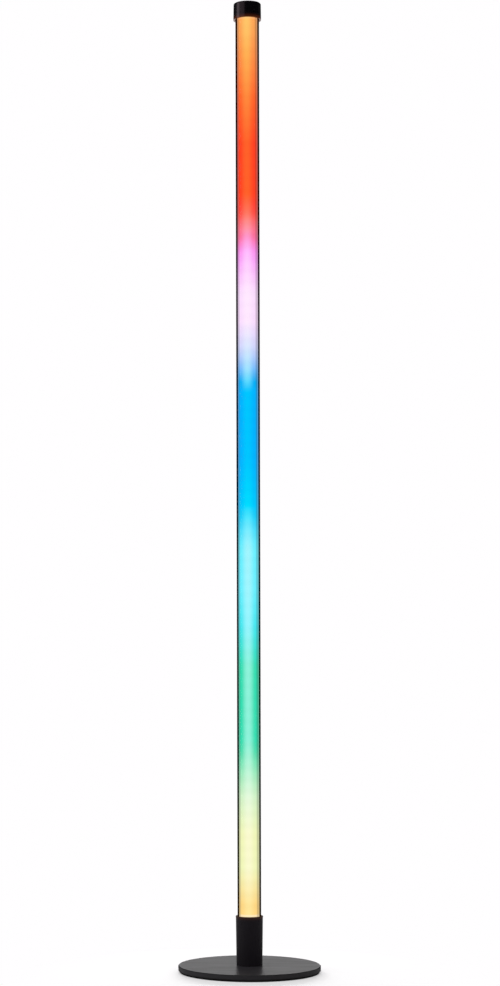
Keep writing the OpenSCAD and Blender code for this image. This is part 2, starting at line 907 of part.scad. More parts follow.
// Outline of the button along its axis: stem, flange, head with a chamfered rim
module button_outline() {
    head_r = button_d / 2;
    stem_r = button_stem_d / 2;
    flange_r = button_flange_d / 2;
    flange_y = rear_wall_y - button_flange_t;
    head_y = rear_face_y + button_out;
    polygon([
        [0, plunger_tip_y], [stem_r, plunger_tip_y], [stem_r, flange_y], [flange_r, flange_y],
        [flange_r, rear_wall_y], [head_r, rear_wall_y], [head_r, head_y - button_chamfer],
        [head_r - button_chamfer, head_y], [0, head_y]
    ]);
}

// Push button with a shallow dish for the fingertip
module power_button() {
    color("#26262a")
        translate([0, 0, button_z])
            difference() {
                rotate([-90, 0, 0])
                    rotate_extrude()
                        button_outline();
                translate([0, rear_face_y + button_out + button_dish_r - button_dish, 0])
                    sphere(r = button_dish_r);
            }
}

base_plate();
base_pad();
base_screws();
insulator_sheet();
socket();
socket_inserts();
column_screws();
lower_plug();
lower_gasket();
outer_tube();
diffuser_tube();
led_carrier();
led_strip_front();
led_strip_back();
led_chips_front();
led_chips_back();
upper_gasket();
upper_plug();
top_cap();
control_board();
radio_module();
driver_chip();
storage_capacitor();
power_choke();
lead_connector();
strip_leads_front();
strip_leads_back();
power_inlet();
inlet_pin();
button_switch();
switch_plunger();
power_button();
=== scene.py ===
"""Finishes, small fittings, camera and studio of the corner floor lamp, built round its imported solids.

Every length is in millimetres in the dataclasses, and is turned into metres where a mesh or a light is made. The lamp
stands on the floor at the origin, and its front faces -Y.
"""

import logging
import math
from dataclasses import dataclass
from enum import Enum

import bmesh
import bpy
from mathutils import Matrix, Vector


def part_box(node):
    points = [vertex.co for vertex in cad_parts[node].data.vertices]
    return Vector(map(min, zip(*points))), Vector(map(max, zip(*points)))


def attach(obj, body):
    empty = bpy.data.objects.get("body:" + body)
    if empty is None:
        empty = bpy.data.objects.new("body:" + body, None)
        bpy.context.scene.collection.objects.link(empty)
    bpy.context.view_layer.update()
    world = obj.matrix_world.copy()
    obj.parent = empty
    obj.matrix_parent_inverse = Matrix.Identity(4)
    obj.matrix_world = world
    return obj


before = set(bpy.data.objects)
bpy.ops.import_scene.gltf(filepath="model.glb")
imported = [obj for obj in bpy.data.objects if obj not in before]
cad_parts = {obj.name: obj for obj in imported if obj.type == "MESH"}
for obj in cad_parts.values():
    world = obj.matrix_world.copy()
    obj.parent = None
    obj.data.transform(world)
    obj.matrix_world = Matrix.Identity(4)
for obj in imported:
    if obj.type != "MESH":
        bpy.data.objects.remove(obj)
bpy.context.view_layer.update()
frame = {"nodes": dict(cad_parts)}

LOG = logging.getLogger("corner_floor_lamp")
MM = 0.001
BLACK = "#000000"
# How far the border between two finishes on one piece runs, in millimetres.
CRISP_MM = 0.1
# Vertices that lie closer than this, in metres, become one.
WELD_M = 1e-7
# Edges that bend by more than this stay sharp.
SHARP_DEG = 35
# Values that a noise pattern mostly keeps between.
NOISE_SPAN = (0.25, 0.75)
# Radians that the wave pattern runs through over one unit, at a scale of 1.
WAVE_RATE = 20
Socket = bpy.types.NodeSocket
Inputs = dict[str | int, object]


def linear(hex_colour: str) -> tuple[float, float, float, float]:
    """Turns a colour as written for a screen into linear light.

    Args:
        hex_colour: An sRGB colour, such as "#1c191c".

    Returns:
        Linear red, green and blue, and an alpha of 1.
    """
    parts = [int(hex_colour[i : i + 2], 16) / 255 for i in (1, 3, 5)]
    light = [c / 12.92 if c <= 0.04045 else ((c + 0.055) / 1.055) ** 2.4 for c in parts]
    return (*light, 1.0)


def per_mm(size_mm: float) -> float:
    """Gives the pattern scale at which one feature is size_mm long on coordinates in metres."""
    return 1.0 / (size_mm * MM)


class Side(Enum):
    """The two faces of the carrier that the light strips lie on."""

    FRONT = -1
    BACK = 1


class Glow(Enum):
    """The two looks of the column: straight over the packages, and away from them."""

    CORE = "core"
    FLANK = "flank"


class Ray(Enum):
    """Rays that see the white backdrop, by their name on the Light Path node."""

    CAMERA = "Is Camera Ray"
    GLOSSY = "Is Glossy Ray"
    TRANSMISSION = "Is Transmission Ray"


class Bench:
    """A node tree being put together, for a material or for the world."""

    def __init__(self, tree: bpy.types.NodeTree) -> None:
        """Empties the tree.

        Args:
            tree: The node tree to work on.
        """
        self.tree = tree
        self.tree.nodes.clear()

    def add(self, kind: str, inputs: Inputs | None = None, **settings: object) -> bpy.types.Node:
        """Adds a node with its settings, its values and its links.

        Args:
            kind: The node's type name in Blender, without the ShaderNode that starts them all.
            inputs: Values, sockets or nodes by input name or number. A node stands for its first output.
            **settings: The node's own properties.

        Returns:
            The new node.
        """
        node = self.tree.nodes.new(f"ShaderNode{kind}")
        for name, value in settings.items():
            setattr(node, name, value)
        for key, value in (inputs or {}).items():
            if isinstance(value, bpy.types.Node):
                value = value.outputs[0]
            if isinstance(value, Socket):
                self.tree.links.new(value, node.inputs[key])
            else:
                node.inputs[key].default_value = value
        return node

    def blend(self, share: Socket | float, low: object, high: object) -> Socket:
        """Mixes two colours, given as hex or as sockets, or two plain values.

        Args:
            share: How much of the second one shows.
            low: What a share of 0 gives.
            high: What a share of 1 gives.

        Returns:
            The mixed colour or value.
        """
        plain = all(isinstance(end, float) or getattr(end, "type", "") == "VALUE" for end in (low, high))
        first, out, kind = (2, 0, "FLOAT") if plain else (6, 2, "RGBA")
        ends = [linear(end) if isinstance(end, str) else end for end in (low, high)]
        return self.add("Mix", {"Factor": share, first: ends[0], first + 1: ends[1]}, data_type=kind).outputs[out]

    def both(self, first: object, second: object) -> Socket:
        """Multiplies two shares, so that the result is high only where both are."""
        return self.add("Math", {0: first, 1: second}, operation="MULTIPLY").outputs[0]


class Swatch(Bench):
    """A material being put together: one Principled shader on Object coordinates.

    Attributes:
        colour: Base colour.
        roughness: Roughness.
        height: Relief, from 0 to 1.
        metal: Metallic, where it varies over the piece.
        glow: Light given off, where there is any.
        coat: Weight of a clear skin, where there is any.
        alpha: How much of the surface shows, where it is clear in part.
    """

    colour: Socket
    roughness: Socket
    height: Socket
    metal: Socket | None = None
    glow: Socket | None = None
    coat: Socket | None = None
    alpha: Socket | None = None

    def __init__(self, name: str) -> None:
        """Starts the material.

        Args:
            name: The material's name.
        """
        self.material = bpy.data.materials.new(name)
        self.material.use_nodes = True
        super().__init__(self.material.node_tree)
        self.shader = self.add("BsdfPrincipled")
        self.add("OutputMaterial", {"Surface": self.shader})
        self.place = self.add("TexCoord").outputs["Object"]
        axes = self.add("SeparateXYZ", {"Vector": self.place}).outputs
        self.x, self.y, self.z = axes

    def reach(self, axis: str, *at_mm: float) -> Socket:
        """Measures the distance from an axis.

        Args:
            axis: The direction of the axis, X, Y or Z.
            *at_mm: A point that the axis goes through.

        Returns:
            The distance in metres.
        """
        flat = self.add("Mapping", {"Vector": self.place, "Location": tuple(-at * MM for at in at_mm),
                                    "Scale": tuple(float(name != axis) for name in "XYZ")})
        return self.add("VectorMath", {0: flat}, operation="LENGTH").outputs["Value"]

    def fade(self, value: Socket, from_mm: float, to_mm: float) -> Socket:
        """Turns a length into a smooth share that is 0 at one length and 1 at the other.

        Args:
            value: The length in metres.
            from_mm: The length at which the share is 0.
            to_mm: The length at which the share is 1.

        Returns:
            The share, from 0 to 1.
        """
        ends = {"Value": value, "From Min": from_mm * MM, "From Max": to_mm * MM}
        return self.add("MapRange", ends, interpolation_type="SMOOTHSTEP").outputs[0]

    def paint(self, share: Socket, colour: object) -> None:
        """Lays a colour over the base colour, as far as the share says."""
        self.colour = self.blend(share, self.colour, colour)


@dataclass(frozen=True)
class Finish:
    """A surface with slow variation of colour, and a grain that shows in its gloss and relief.

    Attributes:
        slot: The material slot that it fills.
        colour: Main colour.
        tint: The colour that the main one drifts to.
        roughness: Middle of the roughness.
        cloud_mm: Size of the slow variation.
        grain_mm: Size of the grain.
        depth_mm: Depth of the grain.
        metallic: 1 for metal, 0 for the rest.
        specular: Specular level of what isn't metal.
        spread: How far the roughness swings with the grain.
        stretch: Scale of the patterns along X, Y and Z, under 1 where the maker's tool drew them out.
        light: Strength of the light that it gives off, where it gives any.
    """

    slot: str
    colour: str
    tint: str
    roughness: float
    cloud_mm: float
    grain_mm: float
    depth_mm: float
    metallic: float = 0.0
    specular: float = 0.5
    spread: float = 0.08
    stretch: tuple[float, float, float] = (1.0, 1.0, 1.0)
    light: float = 1.0

    def make(self) -> bpy.types.Material:
        """Builds the material.

        Returns:
            The material, named after its slot.
        """
        swatch = Swatch(self.slot)
        place = swatch.add("Mapping", {"Vector": swatch.place, "Scale": self.stretch})
        cloud = swatch.add("TexNoise", {"Vector": place, "Scale": per_mm(self.cloud_mm), "Detail": 2.0})
        grain = swatch.add("TexNoise", {"Vector": place, "Scale": per_mm(self.grain_mm), "Detail": 3.0})
        rough = swatch.add("MapRange", {"Value": grain, "From Min": NOISE_SPAN[0], "From Max": NOISE_SPAN[1],
                                        "To Min": self.roughness - self.spread, "To Max": self.roughness + self.spread})
        swatch.colour = swatch.blend(cloud.outputs[0], self.colour, self.tint)
        swatch.roughness, swatch.height = rough.outputs[0], grain.outputs[0]
        self.detail(swatch)
        inputs = swatch.shader.inputs
        bump = swatch.add("Bump", {"Height": swatch.height, "Distance": self.depth_mm * MM})
        for name, socket in (("Base Color", swatch.colour), ("Roughness", swatch.roughness),
                             ("Normal", bump.outputs[0]), ("Metallic", swatch.metal),
                             ("Emission Color", swatch.glow), ("Coat Weight", swatch.coat),
                             ("Alpha", swatch.alpha)):
            if socket is not None:
                swatch.tree.links.new(socket, inputs[name])
        if swatch.metal is None:
            inputs["Metallic"].default_value = self.metallic
        if swatch.glow is not None:
            inputs["Emission Strength"].default_value = self.light
        if not self.metallic:
            inputs["Specular IOR Level"].default_value = self.specular
        return swatch.material

    def detail(self, swatch: Swatch) -> None:
        """Works in what only this finish has. The plain finish has nothing more."""


@dataclass(frozen=True)
class PowderCoat(Finish):
    """Blasted steel with a baked powder coat in satin black.

    The powder melts to a faint orange peel, draws thin over the plate's edge and leaves a soft grey sheen where the
    surface is seen at a low angle. A painted highlight lies along the face's last ring, and painted shade on the bevel,
    the side and the side's lower corner.

    Attributes:
        bevel_r_mm: Radius at which the bevel starts.
        under_z_mm: Height of the lower end of the bevel.
        foot_z_mm: Height under which the side's lower corner is painted near black as shade.
        rim_highlight: Colour of the face's last ring, a painted highlight along its edge.
        rim_highlight_mm: Distances from the bevel over which it sets in.
        edge: Colour of the bevel, painted dark as shade.
        side: Colour of the side under it, painted a shade darker than the face.
        foot: Colour of the painted shade on the lower corner.
        foot_soft_mm: How far the border over it runs, each way.
        dull: Roughness of the bevel and the side, where the powder draws thin.
        wipe_mm: Width of the faint marks that wiping leaves across the face.
        wipe_deg: How far they are turned from straight across.
        wipe_drawn: Their width as a share of their length.
        wipe_span: Values of their pattern that count as none and as full.
        wipe_swing: How far they swing the roughness.
    """

    bevel_r_mm: float = 102.0
    under_z_mm: float = 8.8
    foot_z_mm: float = 3.5
    rim_highlight: str = "#434145"
    rim_highlight_mm: tuple[float, float] = (2.5, 1.0)
    edge: str = "#0c0b0d"
    side: str = "#1f1d20"
    foot: str = "#040404"
    foot_soft_mm: float = 0.3
    dull: float = 0.85
    wipe_mm: float = 9.0
    wipe_deg: float = 18.0
    wipe_drawn: float = 0.12
    wipe_span: tuple[float, float] = (0.35, 0.65)
    wipe_swing: float = 0.025

    def detail(self, swatch: Swatch) -> None:
        """Works in the painted highlight ring, the painted shade of bevel, side and lower corner, and the wiping marks.

        Args:
            swatch: The material to change.
        """
        along = swatch.add("Mapping", {"Vector": swatch.place, "Rotation": (0, 0, math.radians(self.wipe_deg)),
                                       "Scale": (self.wipe_drawn, 1, 1)})
        wipes = swatch.add("TexNoise", {"Vector": along, "Scale": per_mm(self.wipe_mm), "Detail": 2.0})
        marks = swatch.add("MapRange", {"Value": wipes, "From Min": self.wipe_span[0], "From Max": self.wipe_span[1],
                                        "To Min": -self.wipe_swing, "To Max": self.wipe_swing})
        wiped = swatch.add("Math", {0: swatch.roughness, 1: marks}, operation="ADD")
        edge = swatch.fade(swatch.reach("Z", 0, 0, 0), self.bevel_r_mm - CRISP_MM, self.bevel_r_mm + CRISP_MM)
        swatch.roughness = swatch.blend(edge, wiped.outputs[0], self.dull)
        # Painted highlight: a lighter ring along the face's outer edge.
        ring = swatch.fade(swatch.reach("Z", 0, 0, 0), *(self.bevel_r_mm - mm for mm in self.rim_highlight_mm))
        under = swatch.fade(swatch.z, self.under_z_mm + CRISP_MM, self.under_z_mm - CRISP_MM)
        low = swatch.fade(swatch.z, self.foot_z_mm + self.foot_soft_mm, self.foot_z_mm - self.foot_soft_mm)
        # Painted shade: a dark bevel, a side a little darker than the face and a near-black lower corner.
        for share, colour in ((ring, self.rim_highlight), (edge, self.edge), (swatch.both(edge, under), self.side),
                              (low, self.foot)):
            swatch.paint(share, colour)


@dataclass(frozen=True)
class MouldedShell(Finish):
    """Black ABS, injection moulded, with a painted glow of the column's light in its lip.

    Attributes:
        lip_z_mm: Height of the lip that meets the column.
        reach_mm: How far from the lip the painted glow reaches, with its sign.
        painted_glow: Colour of the glow painted into the lip.
        worn_z_mm: Height of the edge that hands touch.
        worn_mm: How far the touched zone reaches, with its sign.
        worn_shine: Roughness of the touched edge.
        worn_share: How much of that roughness shows on the edge.
        gloss: Tint of what it mirrors.
    """

    lip_z_mm: float = 0.0
    reach_mm: float = 4.0
    painted_glow: str = BLACK
    worn_z_mm: float = 0.0
    worn_mm: float = 1.0
    worn_shine: float = 0.3
    worn_share: float = 0.6
    gloss: str = "#ffffff"

    def detail(self, swatch: Swatch) -> None:
        """Works in the lip's painted glow and the touched edge.

        Args:
            swatch: The material to change.
        """
        # Painted glow: the column's colour given off by the plastic, fading in towards the lip.
        near = swatch.fade(swatch.z, self.lip_z_mm + self.reach_mm, self.lip_z_mm)
        swatch.glow = swatch.blend(swatch.both(near, near), BLACK, self.painted_glow)
        worn = swatch.fade(swatch.z, self.worn_z_mm + self.worn_mm, self.worn_z_mm)
        swatch.roughness = swatch.blend(swatch.both(worn, self.worn_share), swatch.roughness, self.worn_shine)
        swatch.shader.inputs["Specular Tint"].default_value = linear(self.gloss)


@dataclass(frozen=True)
class Foam(Finish):
    """Closed-cell EVA foam, cut from sheet: matt black, with its cells' walls painted lighter as a highlight.

    Attributes:
        cell_mm: Size of the cells.
        cut: Colour of their cut walls, a painted highlight.
    """

    cell_mm: float = 0.9
    cut: str = "#0b0b0c"

    def detail(self, swatch: Swatch) -> None:
        """Works in the open cells of the cut faces, with their walls painted lighter as a highlight.

        Args:
            swatch: The material to change.
        """
        cells = swatch.add("TexVoronoi", {"Vector": swatch.place, "Scale": per_mm(self.cell_mm)}, feature="SMOOTH_F1")
        swatch.height = cells.outputs["Distance"]
        # Painted highlight: lighter towards the walls of the cells.
        swatch.paint(swatch.height, self.cut)


@dataclass(frozen=True)
class LeadColours(Finish):
    """Soft PVC insulation, extruded over stranded wire, in one colour for each of the three leads.

    Attributes:
        pitch_mm: Distance between the leads.
        left: Colour of the left lead.
        middle: Colour of the middle lead.
    """

    pitch_mm: float = 2.5
    left: str = "#a8201a"
    middle: str = "#dcd9cf"

    def detail(self, swatch: Swatch) -> None:
        """Gives each lead its colour by where it lies.

        Args:
            swatch: The material to change.
        """
        half = self.pitch_mm / 2
        on_left = swatch.fade(swatch.x, -half + CRISP_MM, -half - CRISP_MM)
        swatch.paint(swatch.fade(swatch.x, half + CRISP_MM, half - CRISP_MM), self.middle)
        swatch.paint(on_left, self.left)


@dataclass(frozen=True)
class TurnedMetal(Finish):
    """Metal turned on a lathe, then plated or left bare, with fine tool marks round its axis.

    Attributes:
        mark_mm: Length over which the tool marks run through one radian.
        marks: The axis that they run round.
        groove: Colour in the marks.
        groove_share: How much of it shows.
    """

    mark_mm: float = 0.5
    marks: str = "Z"
    groove: str = "#5d5a55"
    groove_share: float = 0.12

    def detail(self, swatch: Swatch) -> None:
        """Adds the tool marks to the relief.

        Args:
            swatch: The material to change.
        """
        rings = swatch.add("TexWave", {"Vector": swatch.place, "Scale": per_mm(self.mark_mm) / WAVE_RATE,
                                       "Distortion": 0.4}, bands_direction=self.marks).outputs["Fac"]
        swatch.height = swatch.add("Math", {0: rings, 1: swatch.height}, operation="ADD").outputs[0]
        swatch.paint(swatch.both(rings, self.groove_share), self.groove)


@dataclass(frozen=True)
class StripBoard(Finish):
    """Thin flexible circuit under white solder mask, with bare tinned pads at its lower end and at each cut line.

    Attributes:
        pad_top_mm: Height at which the bare lower pads end.
        pad_pitch_mm: Distance between the pads side by side.
        pad_half_mm: Half the width of a pad.
        cut_mm: Distance between the cut lines.
        first_cut_mm: Height of the lowest cut line.
        cut_pad_mm: How far the bare pads reach from a cut line.
        line_mm: How far the printed line there reaches from its middle.
        tin: Colour of the pads.
        ink: Colour of the line.
    """

    pad_top_mm: float = 71.0
    pad_pitch_mm: float = 2.5
    pad_half_mm: float = 0.8
    cut_mm: float = 50.01
    first_cut_mm: float = 67.67
    cut_pad_mm: float = 1.3
    line_mm: float = 0.12
    tin: str = "#cfccc4"
    ink: str = "#3a3a38"

    def detail(self, swatch: Swatch) -> None:
        """Lays out the pads and the cut lines.

        Args:
            swatch: The material to change.
        """
        across = swatch.add("Math", {0: swatch.x, 1: self.pad_pitch_mm / 2 * MM}, operation="PINGPONG").outputs[0]
        in_column = swatch.fade(across, self.pad_half_mm, self.pad_half_mm - CRISP_MM)
        low = swatch.fade(swatch.z, self.pad_top_mm, self.pad_top_mm - 0.2)
        up = swatch.add("Math", {0: swatch.z, 1: -self.first_cut_mm * MM}, operation="ADD")
        to_cut = swatch.add("Math", {0: up, 1: self.cut_mm / 2 * MM}, operation="PINGPONG").outputs[0]
        at_cut = swatch.fade(to_cut, self.cut_pad_mm, self.cut_pad_mm - 0.2)
        bare = swatch.add("Math", {0: low, 1: at_cut}, operation="MAXIMUM")
        swatch.metal = swatch.both(bare, in_column)
        swatch.paint(swatch.metal, self.tin)
        swatch.paint(swatch.fade(to_cut, self.line_mm, self.line_mm / 2), self.ink)
        swatch.height = swatch.add("Math", {0: swatch.height, 1: swatch.metal}, operation="ADD").outputs[0]


@dataclass(frozen=True)
class LightPackage(Finish):
    """White moulded light package, with yellow phosphor resin in its well.

    Attributes:
        well_floor_mm: Distance of the well's floor from the lamp's middle plane.
        phosphor: Colour of the resin.
        level_from: How squarely a face has to look ahead to be the well's floor.
    """

    well_floor_mm: float = 2.3
    phosphor: str = "#d9a82c"
    level_from: float = 0.7

    def detail(self, swatch: Swatch) -> None:
        """Fills the wells with resin.

        Args:
            swatch: The material to change.
        """
        out = swatch.add("Math", {0: swatch.y}, operation="ABSOLUTE").outputs[0]
        normal = swatch.add("SeparateXYZ", {0: swatch.add("NewGeometry").outputs["Normal"]})
        level = swatch.add("Math", {0: normal.outputs[1]}, operation="ABSOLUTE")
        deep = swatch.fade(out, self.well_floor_mm + 0.1, self.well_floor_mm + 0.05)
        resin = swatch.both(deep, swatch.add("Math", {0: level, 1: self.level_from}, operation="GREATER_THAN"))
        swatch.paint(resin, self.phosphor)


@dataclass(frozen=True)
class CircuitBoard(Finish):
    """Glass-fibre laminate under green solder mask, with copper tracks under it and tinned vias through it.

    Attributes:
        track_mm: Distance between tracks.
        track_to: Share of that distance over which the copper starts.
        via_mm: Distance between vias.
        via_to: Share of that distance over which a via ends.
        half_w_mm: Half the width of the board.
        laminate: Colour of the sawn edge.
        mask: Colour of the solder mask over copper.
        tin: Colour of the vias.
    """

    track_mm: float = 1.9
    track_to: tuple[float, float] = (0.34, 0.40)
    via_mm: float = 3.1
    via_to: tuple[float, float] = (0.11, 0.07)
    half_w_mm: float = 14.0
    laminate: str = "#a99a63"
    mask: str = "#1d6b41"
    tin: str = "#c9c6bd"

    def detail(self, swatch: Swatch) -> None:
        """Draws the tracks, the vias and the sawn edges.

        Args:
            swatch: The material to change.
        """
        tracks = swatch.add("TexVoronoi", {"Vector": swatch.place, "Scale": per_mm(self.track_mm), "Randomness": 0.35},
                            feature="F1", distance="CHEBYCHEV")
        copper = swatch.add("MapRange", {"Value": tracks, "From Min": self.track_to[0],
                                         "From Max": self.track_to[1]}).outputs[0]
        holes = swatch.add("TexVoronoi", {"Vector": swatch.place, "Scale": per_mm(self.via_mm), "Randomness": 0.7},
                           feature="F1")
        via = swatch.add("MapRange", {"Value": holes, "From Min": self.via_to[0],
                                      "From Max": self.via_to[1]}).outputs[0]
        out = swatch.add("Math", {0: swatch.x}, operation="ABSOLUTE").outputs[0]
        edge = swatch.fade(out, self.half_w_mm - 0.03, self.half_w_mm - 0.01)
        for share, colour in ((copper, self.mask), (via, self.tin), (edge, self.laminate)):
            swatch.paint(share, colour)
        swatch.metal = swatch.add("Math", {0: via, 1: edge}, operation="SUBTRACT", use_clamp=True).outputs[0]
        swatch.height = swatch.add("Math", {0: copper, 1: via}, operation="ADD").outputs[0]


@dataclass(frozen=True)
class ChipEpoxy(Finish):
    """Black epoxy, transfer moulded round a lead frame, with tinned legs and a dimple beside the first leg.

    Attributes:
        middle_x_mm: Where the chip's middle lies across the board.
        half_w_mm: Half the width of its body.
        top_mm: Height under which the legs lie.
        dot_z_mm: Height of the dimple.
        dot_in_mm: How far the dimple lies from the chip's middle.
        dot_mm: Radii over which the dimple sets in.
        dimple: Colour of the dimple.
        tin: Colour of the legs.
    """

    middle_x_mm: float = 4.8
    half_w_mm: float = 3.0
    top_mm: float = 17.0
    dot_z_mm: float = 15.8
    dot_in_mm: float = 2.2
    dot_mm: tuple[float, float] = (0.45, 0.35)
    dimple: str = "#2a2b2d"
    tin: str = "#bfbdb6"

    def detail(self, swatch: Swatch) -> None:
        """Tins the legs and presses the dimple.

        Args:
            swatch: The material to change.
        """
        aside = swatch.add("Math", {0: swatch.x, 1: -self.middle_x_mm * MM}, operation="ADD")
        out = swatch.add("Math", {0: aside}, operation="ABSOLUTE").outputs[0]
        low = swatch.fade(swatch.z, self.top_mm, self.top_mm - CRISP_MM)
        legs = swatch.both(low, swatch.fade(out, self.half_w_mm, self.half_w_mm + 0.02))
        dot = swatch.fade(swatch.reach("Y", self.middle_x_mm - self.dot_in_mm, 0, self.dot_z_mm), *self.dot_mm)
        swatch.metal = legs
        swatch.paint(dot, self.dimple)
        swatch.paint(legs, self.tin)


@dataclass(frozen=True)
class CapacitorCan(Finish):
    """Drawn aluminium can, etched and lacquered, with the dark mark of its minus side on the top.

    Attributes:
        mark_x_mm: Where the mark starts across the can's top.
        top_y_mm: Distance of the can's top from the lamp's middle plane.
        ink: Colour of the mark.
    """

    mark_x_mm: float = 10.9
    top_y_mm: float = -3.55
    ink: str = "#17181a"

    def detail(self, swatch: Swatch) -> None:
        """Prints the plain dark mark.

        Args:
            swatch: The material to change.
        """
        beside = swatch.fade(swatch.x, self.mark_x_mm, self.mark_x_mm + CRISP_MM)
        on_top = swatch.fade(swatch.y, self.top_y_mm, self.top_y_mm - CRISP_MM)
        mark = swatch.both(beside, on_top)
        swatch.metal = swatch.add("Math", {0: 1.0, 1: mark}, operation="SUBTRACT").outputs[0]
        swatch.paint(mark, self.ink)


@dataclass(frozen=True)
class WoundChoke(Finish):
    """Pressed ferrite drum, with enamelled copper wire between its flanges.

    Attributes:
        low_y_mm: Distance of the outer flange's inner face from the lamp's middle plane.
        high_y_mm: Distance of the inner flange's inner face.
        wire_mm: Length over which the turns run through one radian.
        gap: Colour between two turns, painted shade in the crease between them.
        copper: Colour of the enamelled wire.
    """

    low_y_mm: float = 0.9
    high_y_mm: float = 3.1
    wire_mm: float = 0.3
    gap: str = "#6b3415"
    copper: str = "#b8683a"

    def detail(self, swatch: Swatch) -> None:
        """Winds the wire, with painted shade between the turns.

        Args:
            swatch: The material to change.
        """
        wire = swatch.both(swatch.fade(swatch.y, self.low_y_mm, self.low_y_mm + 0.05),
                           swatch.fade(swatch.y, self.high_y_mm, self.high_y_mm - 0.05))
        turns = swatch.add("TexWave", {"Vector": swatch.place, "Scale": per_mm(self.wire_mm) / WAVE_RATE},
                           bands_direction="Y").outputs["Fac"]
        # Painted shade: darker between the turns, where the relief dips.
        swatch.paint(wire, swatch.blend(turns, self.gap, self.copper))
        swatch.metal = wire
        swatch.height = swatch.blend(wire, swatch.height, turns)


@dataclass(frozen=True)
class PressedButton(Finish):
    """Black ABS with a satin face, polished by fingertips in the middle of its dish.

    Attributes:
        button_z_mm: Height of the button's axis.
        dish_mm: Radius of the polished middle.
        spot_mm: Radius within which the polish is full.
        polish: Roughness there.
    """

    button_z_mm: float = 37.0
    dish_mm: float = 2.4
    spot_mm: float = 0.4
    polish: float = 0.2

    def detail(self, swatch: Swatch) -> None:
        """Polishes the middle of the dish.

        Args:
            swatch: The material to change.
        """
        middle = swatch.fade(swatch.reach("Y", 0, 0, self.button_z_mm), self.dish_mm, self.spot_mm)
        swatch.roughness = swatch.blend(middle, swatch.roughness, self.polish)


@dataclass(frozen=True)
class Hue:
    """One hue of the light show, held between two heights and blended into the next.

    Attributes:
        low_mm: Height at which it starts.
        high_mm: Height at which it ends.
        core: Colour over the packages.
        flank: Colour at the sides.
    """

    low_mm: float
    high_mm: float
    core: str
    flank: str


@dataclass(frozen=True)
class LightShow:
    """The standing rainbow that the strips give: warm at both ends, through violet, blue and green between.

    Attributes:
        foot_mm: Height at which the show starts.
        head_mm: Height at which it ends.
        hues: The hues from the foot up.
    """

    foot_mm: float = 40.0
    head_mm: float = 1390.0
    hues: tuple[Hue, ...] = (
        Hue(98, 98, "#ffe59a", "#fdd683"),  # honey
        Hue(150, 200, "#faf9ce", "#f0f5b8"),  # lemon
        Hue(252, 252, "#e6f9dc", "#d2f1c6"),  # leaf
        Hue(298, 298, "#b7f5d8", "#84e6b8"),  # pale mint
        Hue(319, 319, "#a0f3d8", "#50dbac"),  # fresh mint
        Hue(337, 440, "#8ff2da", "#35dcb0"),  # mint
        Hue(500, 500, "#96f5fe", "#46e6ee"),  # lagoon
        Hue(555, 612, "#a1f4fd", "#6aeefe"),  # ice
        Hue(657, 657, "#4ce6ff", "#20cdf6"),  # clear lagoon
        Hue(673, 673, "#00dcff", "#02c6fb"),  # open sky
        Hue(740, 840, "#00c6ff", "#04b2fd"),  # sky
        Hue(854, 854, "#60dbff", "#04adf3"),  # clear blue
        Hue(869, 869, "#9be2ff", "#6cb9fb"),  # powder blue
        Hue(901, 901, "#d8e7ff", "#ced4fb"),  # periwinkle
        Hue(940, 980, "#ffe8ff", "#fadcfd"),  # lilac
        Hue(1028, 1028, "#ffc8ff", "#fba4f9"),  # orchid
        Hue(1041, 1041, "#ffb9fe", "#fb92ec"),  # peony
        Hue(1060, 1060, "#ff98d0", "#fb70a0"),  # rose
        Hue(1072, 1072, "#ff97a8", "#fb728c"),  # blush
        Hue(1082, 1082, "#ff8f8e", "#fb6a73"),  # salmon
        Hue(1092, 1092, "#ff7c68", "#fd544c"),  # coral
        Hue(1103, 1103, "#ff7050", "#fe463b"),  # ember
        Hue(1122, 1195, "#ff622a", "#fe4223"),  # vermilion
        Hue(1262, 1262, "#ff893d", "#fe652c"),  # orange
        Hue(1325, 1325, "#ffb154", "#fb9048"),  # tangerine
        Hue(1362, 1362, "#ffc468", "#fba456"),  # amber
    )

    def at_height(self, swatch: Swatch, part: Glow) -> Socket:
        """Gives the show's colour at a point's height.

        Args:
            swatch: The material that asks.
            part: Which of the two looks to give.

        Returns:
            The colour.
        """
        span = self.head_mm - self.foot_mm
        share = swatch.add("MapRange", {"Value": swatch.z, "From Min": self.foot_mm * MM,
                                        "From Max": self.head_mm * MM})
        ramp = swatch.add("ValToRGB", {"Fac": share})
        stops = [(h, getattr(hue, part.value)) for hue in self.hues for h in sorted({hue.low_mm, hue.high_mm})]
        elements = ramp.color_ramp.elements
        while len(elements) < len(stops):
            elements.new(0.5)
        for element, (height, colour) in zip(elements, stops):
            element.position = (height - self.foot_mm) / span
            element.color = linear(colour)
        return ramp.outputs[0]


